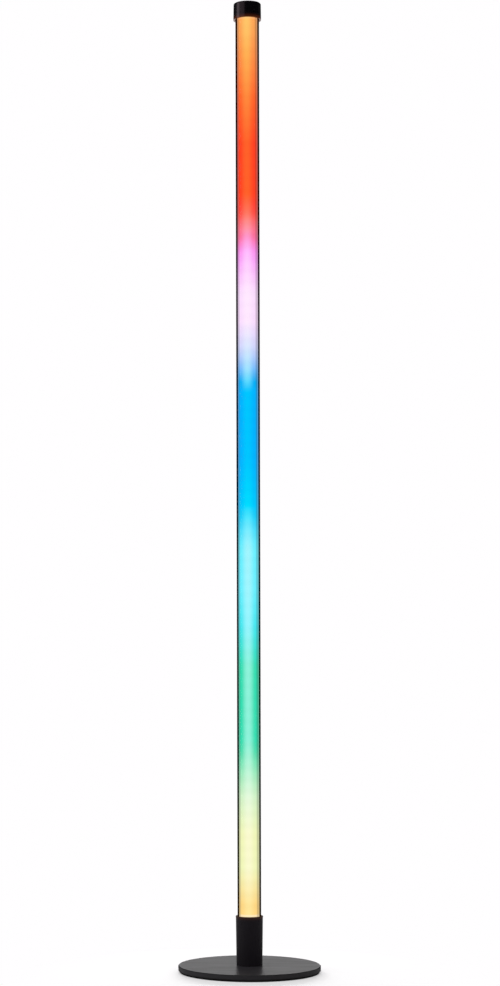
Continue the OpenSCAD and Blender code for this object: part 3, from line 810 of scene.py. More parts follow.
@dataclass(frozen=True)
class OpalGlow(Finish):
    """Opal polycarbonate, extruded thin: it scatters the strips into one even column with no dots.

    The column is palest over the packages, deeper beside them and dimmer at its sides, where the wall is seen edge on
    from the strips.

    Attributes:
        show: The light show.
        radius_mm: Radius of the diffuser.
        turn_deg: How far the strips are turned from straight ahead.
        pitch_mm: Distance between packages, which leaves a faint ripple.
        ripple: Share of the light that the ripple takes.
        core_from: How squarely a point has to face a strip to start to take the look over the packages.
        side_share: Share of the light that is left at the sides.
        side_turn_deg: How far that dimming is turned, so that it reaches further in on the right.
        side_from: How squarely a point faces a strip where that dimming is full, and where it ends.
        side_black: Colour that it dims towards.
        plug: Colour of the light that the white plugs send back.
        plug_shares: How much of it shows at the lower plug, and how much of that at the upper one.
        foot_band_mm: Height under which the white plug brightens the column.
        head_band_mm: Height over which the upper plug does.
        band_mm: Height over which that brightening sets in.
    """

    show: LightShow = LightShow()
    radius_mm: float = 14.45
    turn_deg: float = -6.5
    pitch_mm: float = 16.67
    ripple: float = 0.012
    core_from: float = 0.48
    side_share: float = 0.6
    side_turn_deg: float = -7.0
    side_from: tuple[float, float] = (0.22, 0.46)
    side_black: str = "#303030"
    plug: str = "#fff4e0"
    plug_shares: tuple[float, float] = (0.45, 0.2)
    foot_band_mm: float = 84.5
    head_band_mm: float = 1374.5
    band_mm: float = 1.5

    def lobe(self, swatch: Swatch, turn: float) -> Socket:
        """Says how squarely a point of the tube faces one of the two strips.

        Args:
            swatch: The material.
            turn: How far the strips are turned from straight ahead, in radians.

        Returns:
            1 over a strip and 0 half way round to the other.
        """
        ahead = Vector((math.sin(turn), -math.cos(turn), 0.0)) / (self.radius_mm * MM)
        towards = swatch.add("VectorMath", {0: swatch.place, 1: ahead}, operation="DOT_PRODUCT")
        return swatch.both(towards.outputs["Value"], towards.outputs["Value"])

    def detail(self, swatch: Swatch) -> None:
        """Lights the column.

        Args:
            swatch: The material to change.
        """
        lobe = self.lobe(swatch, math.radians(self.turn_deg))
        over = swatch.add("MapRange", {"Value": lobe, "From Min": self.core_from, "From Max": 1.0})
        column = swatch.blend(swatch.both(over, over), self.show.at_height(swatch, Glow.FLANK),
                              self.show.at_height(swatch, Glow.CORE))
        foot = swatch.fade(swatch.z, self.foot_band_mm, self.foot_band_mm - self.band_mm)
        head = swatch.fade(swatch.z, self.head_band_mm, self.head_band_mm + self.band_mm)
        plug = swatch.add("Math", {0: foot, 1: swatch.both(head, self.plug_shares[1])}, operation="ADD")
        column = swatch.blend(swatch.both(plug, self.plug_shares[0]), column, self.plug)
        aside = self.lobe(swatch, math.radians(self.side_turn_deg))
        side = swatch.add("MapRange", {"Value": aside, "From Min": self.side_from[0], "From Max": self.side_from[1],
                                       "To Min": self.side_share, "To Max": 1.0}, interpolation_type="SMOOTHSTEP")
        dim = swatch.blend(side.outputs[0], self.side_black, column)
        wave = swatch.add("Math", {0: swatch.z, 1: 2 * math.pi / (self.pitch_mm * MM)}, operation="MULTIPLY")
        beat = swatch.add("Math", {0: wave}, operation="SINE")
        level = swatch.add("MapRange", {"Value": beat, "From Min": -1.0, "From Max": 1.0, "To Min": 1 - self.ripple,
                                        "To Max": 1 + self.ripple})
        swatch.glow = swatch.add("VectorMath", {0: dim, "Scale": level}, operation="SCALE").outputs[0]


@dataclass(frozen=True)
class ClearAcrylic(Finish):
    """Cast acrylic tube with a polished skin: clear across the front, with painted shade where its wall is seen edge
    on.

    The far wall, which shows only beside the diffuser, is drawn solid and near black as painted shade, with a
    painted glow in a trace of the show's colour. The bore carries a painted line of light along both sides of the
    column.

    Attributes:
        show: The light show.
        between_mm: A radius between the bore and the outer skin.
        wall_share: Share of the show's light painted as glow into the dark wall, whose depth strengthens its hue.
        line_share: Share of the show's light painted into the bore's line.
        painted_line_white: Colour of the plain white light painted into the line.
        skin: How much of the polished skin shows over what lies behind it.
        line_in: Facing, as Blender's Layer Weight gives it, over which the line starts.
        line_out: Facing over which it ends.
        line_left: Share of the bore that stays solid beyond the line.
        front_to: Facing over which the skin's clear coat ends.
    """

    show: LightShow = LightShow()
    between_mm: float = 15.8
    wall_share: float = 0.018
    line_share: float = 0.6
    painted_line_white: str = "#747474"
    skin: float = 0.05
    line_in: tuple[float, float] = (0.5, 0.62)
    line_out: tuple[float, float] = (0.82, 0.7)
    line_left: float = 0.55
    front_to: tuple[float, float] = (0.55, 0.8)

    def detail(self, swatch: Swatch) -> None:
        """Works out where the tube is clear, where its far wall is painted shade and where it carries painted glow.

        Args:
            swatch: The material to change.
        """
        outer = swatch.fade(swatch.reach("Z", 0, 0, 0), self.between_mm - 0.2, self.between_mm + 0.2)
        far = swatch.add("NewGeometry").outputs["Backfacing"]
        low_angle = swatch.add("LayerWeight", {"Blend": 0.5}).outputs["Facing"]
        # Painted shade: the far wall is drawn fully solid, so the limbs show its near-black colour.
        skin = swatch.blend(far, self.skin, 1.0)
        start = swatch.add("MapRange", {"Value": low_angle, "From Min": self.line_in[0], "From Max": self.line_in[1]},
                           interpolation_type="SMOOTHSTEP")
        end = swatch.add("MapRange", {"Value": low_angle, "From Min": self.line_out[0], "From Max": self.line_out[1],
                                      "To Max": self.line_left}, interpolation_type="SMOOTHSTEP")
        swatch.alpha = swatch.blend(outer, swatch.both(start, end), skin)
        # Painted glow: the show's light with plain white in the bore's line, and a deeper trace of it in the dark wall.
        share = swatch.blend(outer, self.line_share, self.wall_share)
        hue = self.show.at_height(swatch, Glow.FLANK)
        deep = swatch.add("VectorMath", {0: hue, 1: hue}, operation="MULTIPLY")
        glow = swatch.add("VectorMath", {0: swatch.blend(outer, hue, deep), "Scale": share}, operation="SCALE")
        painted_line_white = swatch.blend(outer, self.painted_line_white, BLACK)
        swatch.glow = swatch.add("VectorMath", {0: glow, 1: painted_line_white}, operation="ADD").outputs[0]
        front = swatch.add("MapRange", {"Value": low_angle, "From Min": self.front_to[0], "From Max": self.front_to[1],
                                        "To Min": 1.0, "To Max": 0.0})
        near = swatch.add("Math", {0: front, 1: far}, operation="SUBTRACT", use_clamp=True).outputs[0]
        swatch.coat = swatch.both(near, outer)


FINISHES: tuple[Finish, ...] = (
    # Satin black powder coat on steel, sprayed and baked: an even dark face with a grey sheen at low angles, a painted
    # highlight ring at its edge and painted shade on the bevel and the side.
    PowderCoat("plate_coat", "#232124", "#2b292c", 0.37, 38.0, 0.45, 0.012, specular=0.36, spread=0.04),
    # EVA foam, skived from a block: dead matt, with a pitted cut edge.
    Foam("foam", "#020203", "#050506", 0.94, 12.0, 0.5, 0.25, specular=0.05, spread=0.04),
    # Zinc-plated steel, cold headed: cool silver with a faint yellow drift.
    TurnedMetal("screw_steel", "#c2c5c9", "#b9b5a4", 0.3, 5.0, 0.35, 0.01, metallic=1.0, mark_mm=0.7),
    # Pressed fibre sheet, calendered and punched: dull straw with drawn-out fibres.
    Finish("fibre_sheet", "#d3c8ab", "#bfb391", 0.86, 9.0, 0.6, 0.05, specular=0.3, stretch=(0.25, 1.0, 1.0)),
    # Black ABS from a spark-eroded mould: matt, with a fine even texture and a painted glow in its lip.
    MouldedShell("socket_plastic", "#161317", "#1a171b", 0.62, 24.0, 0.5, 0.012, specular=0.07, spread=0.05,
                 lip_z_mm=81.1, reach_mm=-8.0, painted_glow="#2a1407", worn_z_mm=81.0, worn_mm=-1.2, worn_shine=0.36),
    # Brass bar, turned and knurled: warm yellow with bright thread crests.
    TurnedMetal("insert_brass", "#c9a253", "#a9803a", 0.3, 4.0, 0.3, 0.03, metallic=1.0, mark_mm=0.7),
    # Natural white polycarbonate, moulded: half gloss with soft flow marks.
    Finish("plug_plastic", "#e4e2da", "#d8d5ca", 0.38, 14.0, 0.8, 0.006, stretch=(1.0, 1.0, 0.4)),
    # Grey silicone rubber, punched from sheet: dull and slightly dusty.
    Finish("gasket_rubber", "#77797b", "#696b6d", 0.78, 6.0, 0.4, 0.02, specular=0.35),
    # Cast acrylic, polished: clear, with painted shade on its limbs and a painted line of light inside each.
    ClearAcrylic("clear_tube", "#040303", "#070504", 0.14, 60.0, 1.5, 0.002, specular=0.0, spread=0.03),
    # Opal polycarbonate, extruded: an even glow with no dots, dimmer at its sides.
    OpalGlow("diffuser", "#0b0b0b", "#0f0f0f", 0.5, 80.0, 0.6, 0.002, specular=0.02, stretch=(1.0, 1.0, 0.02),
             light=1.06),
    # Extruded aluminium, anodised clear: silver with fine die lines along its length.
    Finish("carrier_aluminium", "#b9bcc0", "#a9acb1", 0.36, 30.0, 0.18, 0.008, metallic=1.0,
           stretch=(1.0, 1.0, 0.004)),
    # Flexible circuit, rolled and masked: soft white, with grey tinned pads and thin dark cut lines.
    StripBoard("strip_board", "#e9e9e4", "#dededa", 0.42, 20.0, 0.5, 0.02),
    # White moulded resin round yellow phosphor: pale blocks, each with a warm well.
    LightPackage("led_package", "#ebe9e1", "#dfdcd2", 0.4, 6.0, 0.3, 0.006),
    # Black ABS from a polished mould: deep black, with a soft gloss, the finest hand marks and a painted glow at its
    # mouth.
    MouldedShell("cap_plastic", "#030204", "#050406", 0.24, 18.0, 1.2, 0.004, specular=0.36, spread=0.03,
                 lip_z_mm=1376.3, reach_mm=8.0, painted_glow="#421a07", worn_z_mm=1400.0, worn_mm=-2.0, worn_shine=0.22,
                 gloss="#ffdcea"),
    # Glass-fibre laminate, masked and tinned: deep green with lighter tracks and bright dots.
    CircuitBoard("circuit_board", "#0e4a2b", "#0c4026", 0.34, 10.0, 0.4, 0.035),
    # Tinned steel, stamped and folded: bright grey, with the sheet's rolling lines.
    Finish("module_shield", "#bdbfbf", "#abadac", 0.3, 4.0, 0.2, 0.006, metallic=1.0, stretch=(0.06, 1.0, 1.0)),
    # Epoxy, transfer moulded: matt charcoal with bright tinned legs.
    ChipEpoxy("chip_epoxy", "#141516", "#1b1c1d", 0.58, 3.0, 0.15, 0.006),
    # Aluminium, drawn and lacquered: brushed silver with one dark mark.
    CapacitorCan("capacitor_can", "#b4b8bb", "#a3a8ac", 0.32, 5.0, 0.2, 0.006, metallic=0.0,
                 stretch=(1.0, 0.08, 1.0)),
    # Ferrite, pressed and fired, wound with copper wire: rough dark grey round a warm coil.
    WoundChoke("choke_ferrite", "#2b2b2e", "#363639", 0.62, 3.0, 0.25, 0.05),
    # Ivory nylon, moulded: half matt, and a little translucent to the eye.
    Finish("connector_plastic", "#ddd6bf", "#d2cab0", 0.46, 5.0, 0.3, 0.006),
    # PVC, extruded over wire: half gloss in red, ivory and black.
    LeadColours("lead_insulation", "#141416", "#1a1a1d", 0.44, 6.0, 0.4, 0.008, stretch=(1.0, 1.0, 0.1)),
    # Glass-filled black PBT, moulded: matt, with a dry fibrous grain.
    Finish("inlet_plastic", "#121214", "#19191b", 0.52, 6.0, 0.3, 0.01, specular=0.35, stretch=(1.0, 0.3, 1.0)),
    # Nickel-plated brass: warm bright silver with turned rings.
    TurnedMetal("inlet_metal", "#c8c2b6", "#b5ad9d", 0.22, 3.0, 0.25, 0.008, metallic=1.0, mark_mm=0.4, marks="Y"),
    # Dark nylon, moulded: matt, with sharp clean edges.
    Finish("switch_plastic", "#232327", "#2b2b2f", 0.5, 4.0, 0.25, 0.008, specular=0.4),
    # Black ABS, moulded and handled: satin, with a shinier middle.
    PressedButton("button_plastic", "#17171a", "#1e1e21", 0.4, 6.0, 0.35, 0.006, specular=0.35),
)


def metres(*lengths: float) -> Vector:
    """Turns three lengths in millimetres into a vector in metres."""
    return Vector(lengths) * MM


class Workshop:
    """Makes the materials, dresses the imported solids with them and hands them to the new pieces."""

    def __init__(self, nodes: dict[str, bpy.types.Object], finishes: tuple[Finish, ...]) -> None:
        """Makes one material for each finish.

        Args:
            nodes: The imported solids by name.
            finishes: The finishes, one for each slot.
        """
        self.nodes = nodes
        self.materials = {finish.slot: finish.make() for finish in finishes}

    def dress_nodes(self) -> None:
        """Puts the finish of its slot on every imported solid."""
        for name, node in sorted(self.nodes.items()):
            for slot in node.material_slots:
                slot.material = self.materials[slot.material.name.split(".")[0]]
            LOG.info("dressed %s", name)

    def keep(self, name: str, mesh: bmesh.types.BMesh, slot: str, body: str = "lamp") -> bpy.types.Object:
        """Turns a finished bmesh into a piece that rides on a body.

        Args:
            name: The piece's name.
            mesh: Its shape, in metres, in its place.
            slot: The material slot that it takes its finish from.
            body: The body that it moves with.

        Returns:
            The new object.
        """
        bmesh.ops.remove_doubles(mesh, verts=mesh.verts, dist=WELD_M)
        bmesh.ops.recalc_face_normals(mesh, faces=mesh.faces)
        data = bpy.data.meshes.new(name)
        mesh.to_mesh(data)
        mesh.free()
        data.shade_smooth()
        data.set_sharp_from_angle(angle=math.radians(SHARP_DEG))
        data.materials.append(self.materials[slot])
        piece = bpy.data.objects.new(name, data)
        bpy.context.scene.collection.objects.link(piece)
        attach(piece, body)
        LOG.info("built %s: %d faces", name, len(data.polygons))
        return piece


@dataclass
class ChipPart:
    """A small surface-mount part: a body between two tinned ends.

    Attributes:
        length_mm: Length over both ends.
        width_mm: Width.
        height_mm: Height over the board.
        end_mm: Length of each tinned end.
        edge_mm: Rounding of the edges.
    """

    length_mm: float = 2.0
    width_mm: float = 1.2
    height_mm: float = 0.5
    end_mm: float = 0.4
    edge_mm: float = 0.08

    def block(self, mesh: bmesh.types.BMesh, size: Vector, centre: Vector, cuts: int = 1) -> None:
        """Adds a block with eased edges.

        Args:
            mesh: The mesh to add to.
            size: Its size in metres.
            centre: Its centre in metres.
            cuts: Segments of the eased edges.
        """
        made = bmesh.ops.create_cube(mesh, size=1.0)["verts"]
        bmesh.ops.scale(mesh, vec=size, verts=made)
        bmesh.ops.translate(mesh, vec=centre, verts=made)
        edges = list({edge for vert in made for edge in vert.link_edges})
        bmesh.ops.bevel(mesh, geom=edges, offset=self.edge_mm * MM, segments=cuts, profile=0.5, affect="EDGES",
                        material=-1)

    def place(self, bodies: bmesh.types.BMesh, ends: bmesh.types.BMesh, foot: Vector, out: float) -> None:
        """Sets one part down on a board that stands upright.

        Args:
            bodies: The mesh of all the bodies.
            ends: The mesh of all the tinned ends.
            foot: The middle of its foot on the board's face, in metres.
            out: Which way it stands off the board along Y, -1 or 1.
        """
        middle = foot + Vector((0, out * self.height_mm / 2 * MM, 0))
        self.block(bodies, metres(self.length_mm - self.end_mm, self.height_mm - 0.06, self.width_mm - 0.06), middle)
        for side in (-1, 1):
            end = middle + Vector((side * (self.length_mm - self.end_mm) / 2 * MM, 0, 0))
            self.block(ends, metres(self.end_mm, self.height_mm, self.width_mm), end)


@dataclass
class SolderJoint:
    """A cooled drop of solder, drawn up round a wire.

    Attributes:
        radius_mm: Radius of its foot.
        height_mm: How far it stands off the board.
        steps: Facets round it.
    """

    radius_mm: float = 0.95
    height_mm: float = 0.8
    steps: int = 14

    def place(self, mesh: bmesh.types.BMesh, foot: Vector, out: float) -> None:
        """Adds the drop on an upright face.

        Args:
            mesh: The mesh to add to.
            foot: The middle of its foot, in metres.
            out: Which way it stands off the face along Y, -1 or 1.
        """
        radius, height = self.radius_mm * MM, self.height_mm * MM
        shape = ((1.0, 0.0), (0.86, 0.22), (0.62, 0.5), (0.42, 0.76), (0.22, 0.94), (0.0, 1.0))
        verts = [mesh.verts.new((x * radius, out * up * height, 0)) for x, up in shape]
        edges = [mesh.edges.new(pair) for pair in zip(verts, verts[1:])]
        turned = bmesh.ops.spin(mesh, geom=verts + edges, cent=(0, 0, 0), axis=(0, 1, 0), dvec=(0, 0, 0),
                                angle=2 * math.pi, steps=self.steps, use_merge=True)
        whole = {v for v in turned["geom_last"] if isinstance(v, bmesh.types.BMVert)} | set(verts)
        grown = True
        while grown:
            linked = {edge.other_vert(v) for v in whole for edge in v.link_edges}
            grown = not linked <= whole
            whole |= linked
        made = list(whole)
        bmesh.ops.remove_doubles(mesh, verts=made, dist=WELD_M)
        made = [v for v in made if v.is_valid]
        rim = [e for v in made for e in v.link_edges if e.is_boundary]
        bmesh.ops.holes_fill(mesh, edges=list(set(rim)), sides=0)
        bmesh.ops.translate(mesh, vec=foot, verts=made)


@dataclass
class LightColumn:
    """Fittings of the two light strips, inside the diffuser.

    Attributes:
        workshop: Where its pieces are finished.
        lead_pitch_mm: Distance between the leads.
        joint_z_mm: Height of the solder joints on the lower pads.
        chip_w_mm: Height of a package.
        chip_pitch_mm: Distance between packages.
    """

    workshop: Workshop
    lead_pitch_mm: float = 2.5
    joint_z_mm: float = 69.6
    chip_w_mm: float = 5.0
    chip_pitch_mm: float = 16.67

    def build(self) -> None:
        """Builds the resistors and the solder joints of both strips."""
        for side in Side:
            name = side.name.lower()
            low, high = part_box(f"led_strip_{name}")
            face_y = (low if side is Side.FRONT else high).y
            self.resistors(name, face_y, float(side.value))
            self.joints(name, face_y, float(side.value))

    def resistors(self, name: str, face_y: float, out: float) -> None:
        """Sets a resistor above each package but the last.

        Args:
            name: The strip's name.
            face_y: The strip's face, in metres.
            out: Which way the face looks along Y, -1 or 1.
        """
        low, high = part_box(f"led_chips_{name}")
        pitch, width = self.chip_pitch_mm * MM, self.chip_w_mm * MM
        count = round((high.z - low.z - width) / pitch)
        bodies, ends, part = bmesh.new(), bmesh.new(), ChipPart()
        for i in range(count):
            part.place(bodies, ends, Vector((0, face_y, low.z + (width + pitch) / 2 + i * pitch)), out)
        self.workshop.keep(f"strip_resistors_{name}", bodies, "chip_epoxy")
        self.workshop.keep(f"resistor_ends_{name}", ends, "module_shield")

    def joints(self, name: str, face_y: float, out: float) -> None:
        """Solders the three leads to the strip's lower pads.

        Args:
            name: The strip's name.
            face_y: The strip's face, in metres.
            out: Which way the face looks along Y, -1 or 1.
        """
        mesh, joint = bmesh.new(), SolderJoint(1.1, 1.5)
        for i in (-1, 0, 1):
            joint.place(mesh, Vector((i * self.lead_pitch_mm * MM, face_y, self.joint_z_mm * MM)), out)
        self.workshop.keep(f"strip_joints_{name}", mesh, "module_shield")


@dataclass
class BoardFittings:
    """Small parts and solder joints on the control board, and the plate over its switch.

    Attributes:
        workshop: Where its pieces are finished.
        part_places_mm: Where the small parts lie on the board's front, as X and Z.
        pin_x_mm: Distance of the switch's pins from its middle, across.
        pin_z_mm: Distance of the pins from its middle, up and down.
        cover_t_mm: Thickness of the switch's steel cover.
        cover_hole_mm: Radius of the hole in it.
        cover_half_mm: Half its width.
        rivet_mm: Radius of its rivets.
        rivet_flat: Their height as a share of that.
        rivet_at_mm: Distance of the rivets from its middle, each way.
        clear_mm: Half the width between them that holds the sheet alone.
        corners: Points round the hole.
    """

    workshop: Workshop
    part_places_mm: tuple[tuple[float, float], ...] = (
        (3.0, 18.6), (6.2, 18.6), (9.9, 15.9), (9.9, 13.6), (-9.3, 22.6), (-9.3, 25.2), (9.3, 23.0), (9.3, 25.8),
    )
    pin_x_mm: float = 2.3
    pin_z_mm: float = 2.2
    cover_t_mm: float = 0.2
    cover_hole_mm: float = 1.95
    cover_half_mm: float = 2.9
    rivet_mm: float = 0.42
    rivet_flat: float = 0.45
    rivet_at_mm: float = 2.35
    clear_mm: float = 1.5
    corners: int = 24

    def build(self) -> None:
        """Builds the parts, the joints and the cover."""
        front_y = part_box("control_board")[0].y
        bodies, ends, part = bmesh.new(), bmesh.new(), ChipPart(1.6, 0.9, 0.45, 0.35, 0.06)
        for x, z in self.part_places_mm:
            part.place(bodies, ends, Vector((x * MM, front_y, z * MM)), -1.0)
        self.workshop.keep("board_resistors", bodies, "chip_epoxy")
        self.workshop.keep("board_resistor_ends", ends, "module_shield")
        low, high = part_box("button_switch")
        centre = (low + high) / 2
        joints, joint = bmesh.new(), SolderJoint(0.6, 0.7)
        for x in (-self.pin_x_mm, self.pin_x_mm):
            for z in (-self.pin_z_mm, self.pin_z_mm):
                joint.place(joints, Vector((x * MM, front_y, centre.z + z * MM)), -1.0)
        self.workshop.keep("switch_joints", joints, "module_shield")
        self.cover(high.y, centre.z)

    def cover(self, face_y: float, centre_z: float) -> None:
        """Builds the switch's stamped cover, with a round hole for the plunger and four rivets.

        Args:
            face_y: The switch's face, in metres.
            centre_z: The height of its middle, in metres.
        """
        mesh = bmesh.new()
        hole = bmesh.ops.create_circle(mesh, radius=self.cover_hole_mm * MM, segments=self.corners)["verts"]
        rim = bmesh.ops.create_circle(mesh, radius=self.cover_half_mm * MM, segments=self.corners)["verts"]
        for vert in rim:
            vert.co *= self.cover_half_mm * MM / max(abs(vert.co.x), abs(vert.co.y))
        loops = [edge for vert in hole + rim for edge in vert.link_edges]
        sheet = bmesh.ops.bridge_loops(mesh, edges=list(set(loops)))["faces"]
        bmesh.ops.solidify(mesh, geom=sheet, thickness=self.cover_t_mm * MM)
        for x in (-self.rivet_at_mm, self.rivet_at_mm):
            for z in (-self.rivet_at_mm, self.rivet_at_mm):
                rivet = bmesh.ops.create_uvsphere(mesh, u_segments=12, v_segments=8, radius=self.rivet_mm * MM)["verts"]
                bmesh.ops.scale(mesh, vec=(1, 1, self.rivet_flat), verts=rivet)
                bmesh.ops.translate(mesh, vec=metres(x, z, self.cover_t_mm), verts=rivet)
        turn = Matrix.Rotation(-math.pi / 2, 4, "X")
        low = min(vert.co.z for vert in mesh.verts if abs(vert.co.x) < self.clear_mm * MM)
        bmesh.ops.translate(mesh, vec=(0, 0, -low), verts=mesh.verts)
        bmesh.ops.transform(mesh, matrix=turn, verts=mesh.verts)
        bmesh.ops.translate(mesh, vec=(0, face_y, centre_z), verts=mesh.verts)
        self.workshop.keep("switch_cover", mesh, "screw_steel")


@dataclass
class InletFittings:
    """The spring sleeve that lines the inlet's bore.

    Attributes:
        workshop: Where its pieces are finished.
        outer_mm: Its outer radius, just inside the bore.
        wall_mm: Its wall.
        lip_mm: Radius of its rolled mouth.
        mouth_mm: How far its mouth lies behind the inlet's face.
        length_mm: Its length.
        steps: Facets round it.
    """

    workshop: Workshop
    outer_mm: float = 3.05
    wall_mm: float = 0.15
    lip_mm: float = 0.22
    mouth_mm: float = 0.9
    length_mm: float = 7.2
    steps: int = 48

    def build(self) -> None:
        """Spins the sleeve round the inlet's axis."""
        low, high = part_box("power_inlet")
        mouth = high.y / MM - self.mouth_mm
        inner = self.outer_mm - self.wall_mm
        lip = self.outer_mm - self.lip_mm
        shape = ((self.outer_mm, mouth - self.length_mm), (self.outer_mm, mouth - 0.15), (self.outer_mm - 0.05, mouth),
                 (lip, mouth), (lip - 0.02, mouth - 0.2), (inner, mouth - 0.45), (inner, mouth - self.length_mm + 0.3),
                 (inner - 0.1, mouth - self.length_mm))
        mesh = bmesh.new()
        verts = [mesh.verts.new(metres(r, y, 0)) for r, y in shape]
        edges = [mesh.edges.new(pair) for pair in zip(verts, verts[1:] + verts[:1])]
        bmesh.ops.spin(mesh, geom=verts + edges, cent=(0, 0, 0), axis=(0, 1, 0), dvec=(0, 0, 0),
                       angle=2 * math.pi, steps=self.steps, use_merge=True)
        bmesh.ops.translate(mesh, vec=(0, 0, (low.z + high.z) / 2), verts=mesh.verts)
        self.workshop.keep("inlet_sleeve", mesh, "inlet_metal")


@dataclass
class PhotoCamera:
    """The photograph's view: level, from in front and a little to the left, with the picture shifted onto the lamp.

    Attributes:
        place_mm: Where it stands.
        lens_mm: Focal length on a sensor whose long side is sensor_mm.
        sensor_mm: Long side of the sensor.
        roll_deg: How far it leans.
        shift: Shift of the picture across and up, as shares of its long side.
        reach_m: How far it sees.
    """

    place_mm: tuple[float, float, float] = (-139.65, -3185.3, 464.0)
    lens_mm: float = 80.38
    sensor_mm: float = 36.0
    roll_deg: float = -0.1405
    shift: tuple[float, float] = (0.09917, 0.1605)
    reach_m: float = 100.0

    def build(self) -> None:
        """Makes the camera and gives it to the scene."""
        data = bpy.data.cameras.new("photo_camera")
        data.lens, data.sensor_width, data.sensor_fit = self.lens_mm, self.sensor_mm, "AUTO"
        data.shift_x, data.shift_y = self.shift
        data.clip_end = self.reach_m
        camera = bpy.data.objects.new("photo_camera", data)
        camera.location = metres(*self.place_mm)
        level = Matrix.Rotation(math.pi / 2, 4, "X") @ Matrix.Rotation(math.radians(self.roll_deg), 4, "Z")
        camera.rotation_euler = level.to_euler()
        bpy.context.scene.collection.objects.link(camera)
        bpy.context.scene.camera = camera
        LOG.info("camera stands %.0f mm in front of the lamp", -self.place_mm[1])


@dataclass(frozen=True)
class Softbox:
    """A soft lamp of the studio.

    Attributes:
        name: Its name.
        place_m: Where it stands, in metres.
        size_m: Its width and height.
        radiance: How bright its face is, where white paper in plain light is 1.
        aim_z_m: Height on the lamp's axis that it looks at.
        in_gloss: False where glossy surfaces don't show it.
        only_floor: True where it lights the floor alone, for the lamp's soft shadow there.
    """

    name: str
    place_m: tuple[float, float, float]
    size_m: tuple[float, float]
    radiance: float
    aim_z_m: float = 0.7
    in_gloss: bool = True
    only_floor: bool = False

    def build(self, floor: bpy.types.Collection) -> None:
        """Makes the light, unseen by the camera itself.

        Args:
            floor: The collection that holds the floor alone.
        """
        data = bpy.data.lights.new(self.name, "AREA")
        data.shape = "RECTANGLE"
        data.size, data.size_y = self.size_m
        data.energy = self.radiance * math.pi * self.size_m[0] * self.size_m[1]
        light = bpy.data.objects.new(self.name, data)
        light.location = self.place_m
        aim = Vector((0, 0, self.aim_z_m)) - Vector(self.place_m)
        light.rotation_euler = aim.to_track_quat("-Z", "Y").to_euler()
        light.visible_camera = False
        light.visible_glossy = self.in_gloss
        if self.only_floor:
            light.light_linking.receiver_collection = floor
        bpy.context.scene.collection.objects.link(light)
        LOG.info("set up %s", self.name)


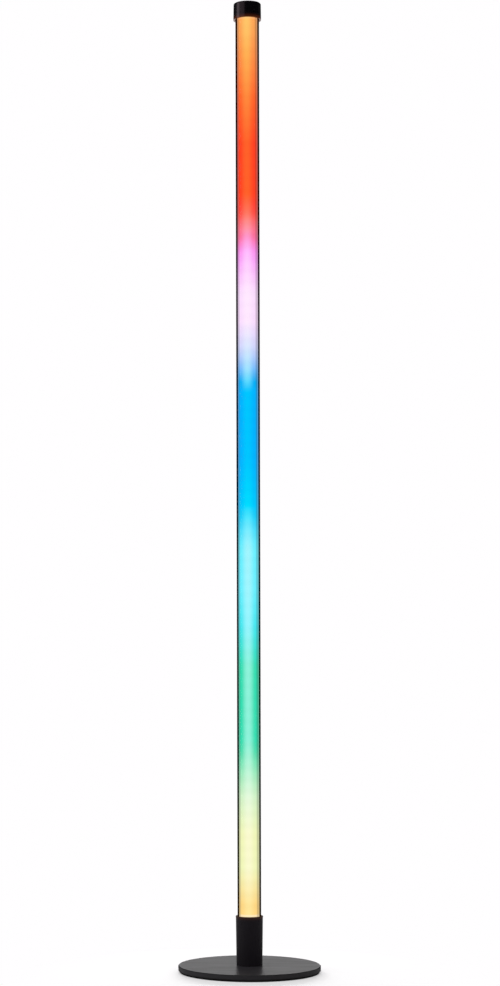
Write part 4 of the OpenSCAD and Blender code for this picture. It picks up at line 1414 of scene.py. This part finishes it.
@dataclass
class Studio:
    """A plain white studio: floor, backdrop and soft lamps.

    Attributes:
        white: Colour of the backdrop and the floor.
        level: Light that the surroundings give to dull surfaces.
        dark_side: How bright the unlit room, in front of the lamp and over it, looks in gloss.
        white_from: Directions from front to back, as sines, over which gloss starts to show the backdrop.
        dark_from: Heights of view, as sines, over which the backdrop gives way to the unlit room.
        floor_r_m: Radius of the floor.
        paper: How pale the floor is to the light that falls on it.
        matt: Roughness of the floor.
        shown: Share of plain white in the floor that the camera sees near the lamp.
        shadow_y_mm: Where the middle of the lamp's shadow lies, from front to back.
        shadow_mm: Distances from there over which the floor's own shading gives way to plain white.
        lamps: The soft lamps.
    """

    white: str = "#fffeff"
    level: float = 0.55
    dark_side: float = 0.03
    white_from: tuple[float, float] = (0.1, 0.6)
    dark_from: tuple[float, float] = (0.13, 0.22)
    floor_r_m: float = 14.0
    paper: str = "#c9c8c9"
    matt: float = 0.9
    shown: float = 0.34
    shadow_y_mm: float = -60.0
    shadow_mm: tuple[float, float] = (190.0, 330.0)
    lamps: tuple[Softbox, ...] = (
        Softbox("softbox_left", (-2.29, -0.22, 1.2), (1.1, 2.4), 2.1, 0.9),
        Softbox("softbox_front", (-1.65, -1.6, 1.2), (1.5, 2.4), 0.75, 0.9),
        Softbox("fill_right", (2.2, -1.2, 1.3), (1.2, 1.6), 2.0, in_gloss=False),
        Softbox("overhead", (0.0, 0.1, 2.9), (1.8, 1.8), 3.2, 0.0),
        Softbox("backdrop_light", (0.0, 3.0, 0.8), (5.0, 1.6), 0.35, 0.8),
        Softbox("floor_light", (0.0, 3.4, 0.62), (2.2, 0.7), 100.0, 0.0, only_floor=True),
    )

    def build(self) -> None:
        """Sets up the studio."""
        self.backdrop()
        floor = self.floor()
        for lamp in self.lamps:
            lamp.build(floor)

    def seen(self, bench: Bench, rays: tuple[Ray, ...] = tuple(Ray)) -> Socket:
        """Says whether a ray is one of those that see the white backdrop.

        Args:
            bench: The tree to work in.
            rays: The kinds of ray.

        Returns:
            1 for such a ray and 0 for the rest.
        """
        path = bench.add("LightPath").outputs
        total = path[rays[0].value]
        for ray in rays[1:]:
            total = bench.add("Math", {0: total, 1: path[ray.value]}, operation="MAXIMUM").outputs[0]
        return total

    def backdrop(self) -> None:
        """Makes the world: white to the eye and in gloss on the far side, plain soft light to dull surfaces."""
        world = bpy.data.worlds.new("studio")
        world.use_nodes = True
        bpy.context.scene.world = world
        bench = Bench(world.node_tree)
        towards = bench.add("SeparateXYZ", {0: bench.add("TexCoord").outputs["Generated"]})
        lit, dark = 1.0, self.dark_side
        shares = []
        for axis, ends, start, stop in ((1, self.white_from, dark, lit), (2, self.dark_from, lit, dark)):
            span = {"From Min": ends[0], "From Max": ends[1], "To Min": start, "To Max": stop}
            shares.append(bench.add("MapRange", {"Value": towards.outputs[axis], **span},
                                    interpolation_type="SMOOTHSTEP"))
        gloss = bench.blend(self.seen(bench, (Ray.GLOSSY,)), lit, bench.both(*shares))
        strength = bench.blend(self.seen(bench), self.level, gloss)
        light = bench.add("Background", {"Color": linear(self.white), "Strength": strength})
        bench.add("OutputWorld", {"Surface": light})
        LOG.info("hung the backdrop")

    def floor(self) -> bpy.types.Collection:
        """Makes the floor: a white sweep that keeps the lamp's soft shadow.

        Returns:
            A collection that holds the floor alone.
        """
        mesh = bmesh.new()
        bmesh.ops.create_circle(mesh, cap_ends=True, radius=self.floor_r_m, segments=96)
        data = bpy.data.meshes.new("studio_floor")
        mesh.to_mesh(data)
        mesh.free()
        floor = bpy.data.objects.new("studio_floor", data)
        alone = bpy.data.collections.new("studio_floor")
        bpy.context.scene.collection.children.link(alone)
        alone.objects.link(floor)
        paper = Swatch("studio_paper")
        for name, value in (("Roughness", self.matt), ("Specular IOR Level", 0.0), ("Base Color", linear(self.paper))):
            paper.shader.inputs[name].default_value = value
        light = paper.add("Emission", {"Color": linear(self.white), "Strength": 1.0})
        away = paper.fade(paper.reach("Z", 0, self.shadow_y_mm, 0), *self.shadow_mm)
        share = paper.add("MapRange", {"Value": away, "To Min": self.shown, "To Max": 1.0})
        mixed = paper.add("MixShader", {0: paper.both(share, self.seen(paper)), 1: paper.shader, 2: light})
        output = next(node for node in paper.tree.nodes if node.type == "OUTPUT_MATERIAL")
        paper.tree.links.new(mixed.outputs[0], output.inputs["Surface"])
        data.materials.append(paper.material)
        LOG.info("laid the floor")
        return alone


def main() -> None:
    """Dresses the lamp, adds its small fittings and sets up the studio round it."""
    logging.basicConfig(level=logging.INFO, format="%(name)s: %(message)s")
    bpy.context.scene.view_settings.view_transform = "Standard"
    workshop = Workshop(frame["nodes"], FINISHES)
    PhotoCamera().build()
    Studio().build()
    workshop.dress_nodes()
    for assembly in (LightColumn(workshop), BoardFittings(workshop), InletFittings(workshop)):
        assembly.build()
        LOG.info("finished %s", type(assembly).__name__)


if __name__ == "__main__":
    main()
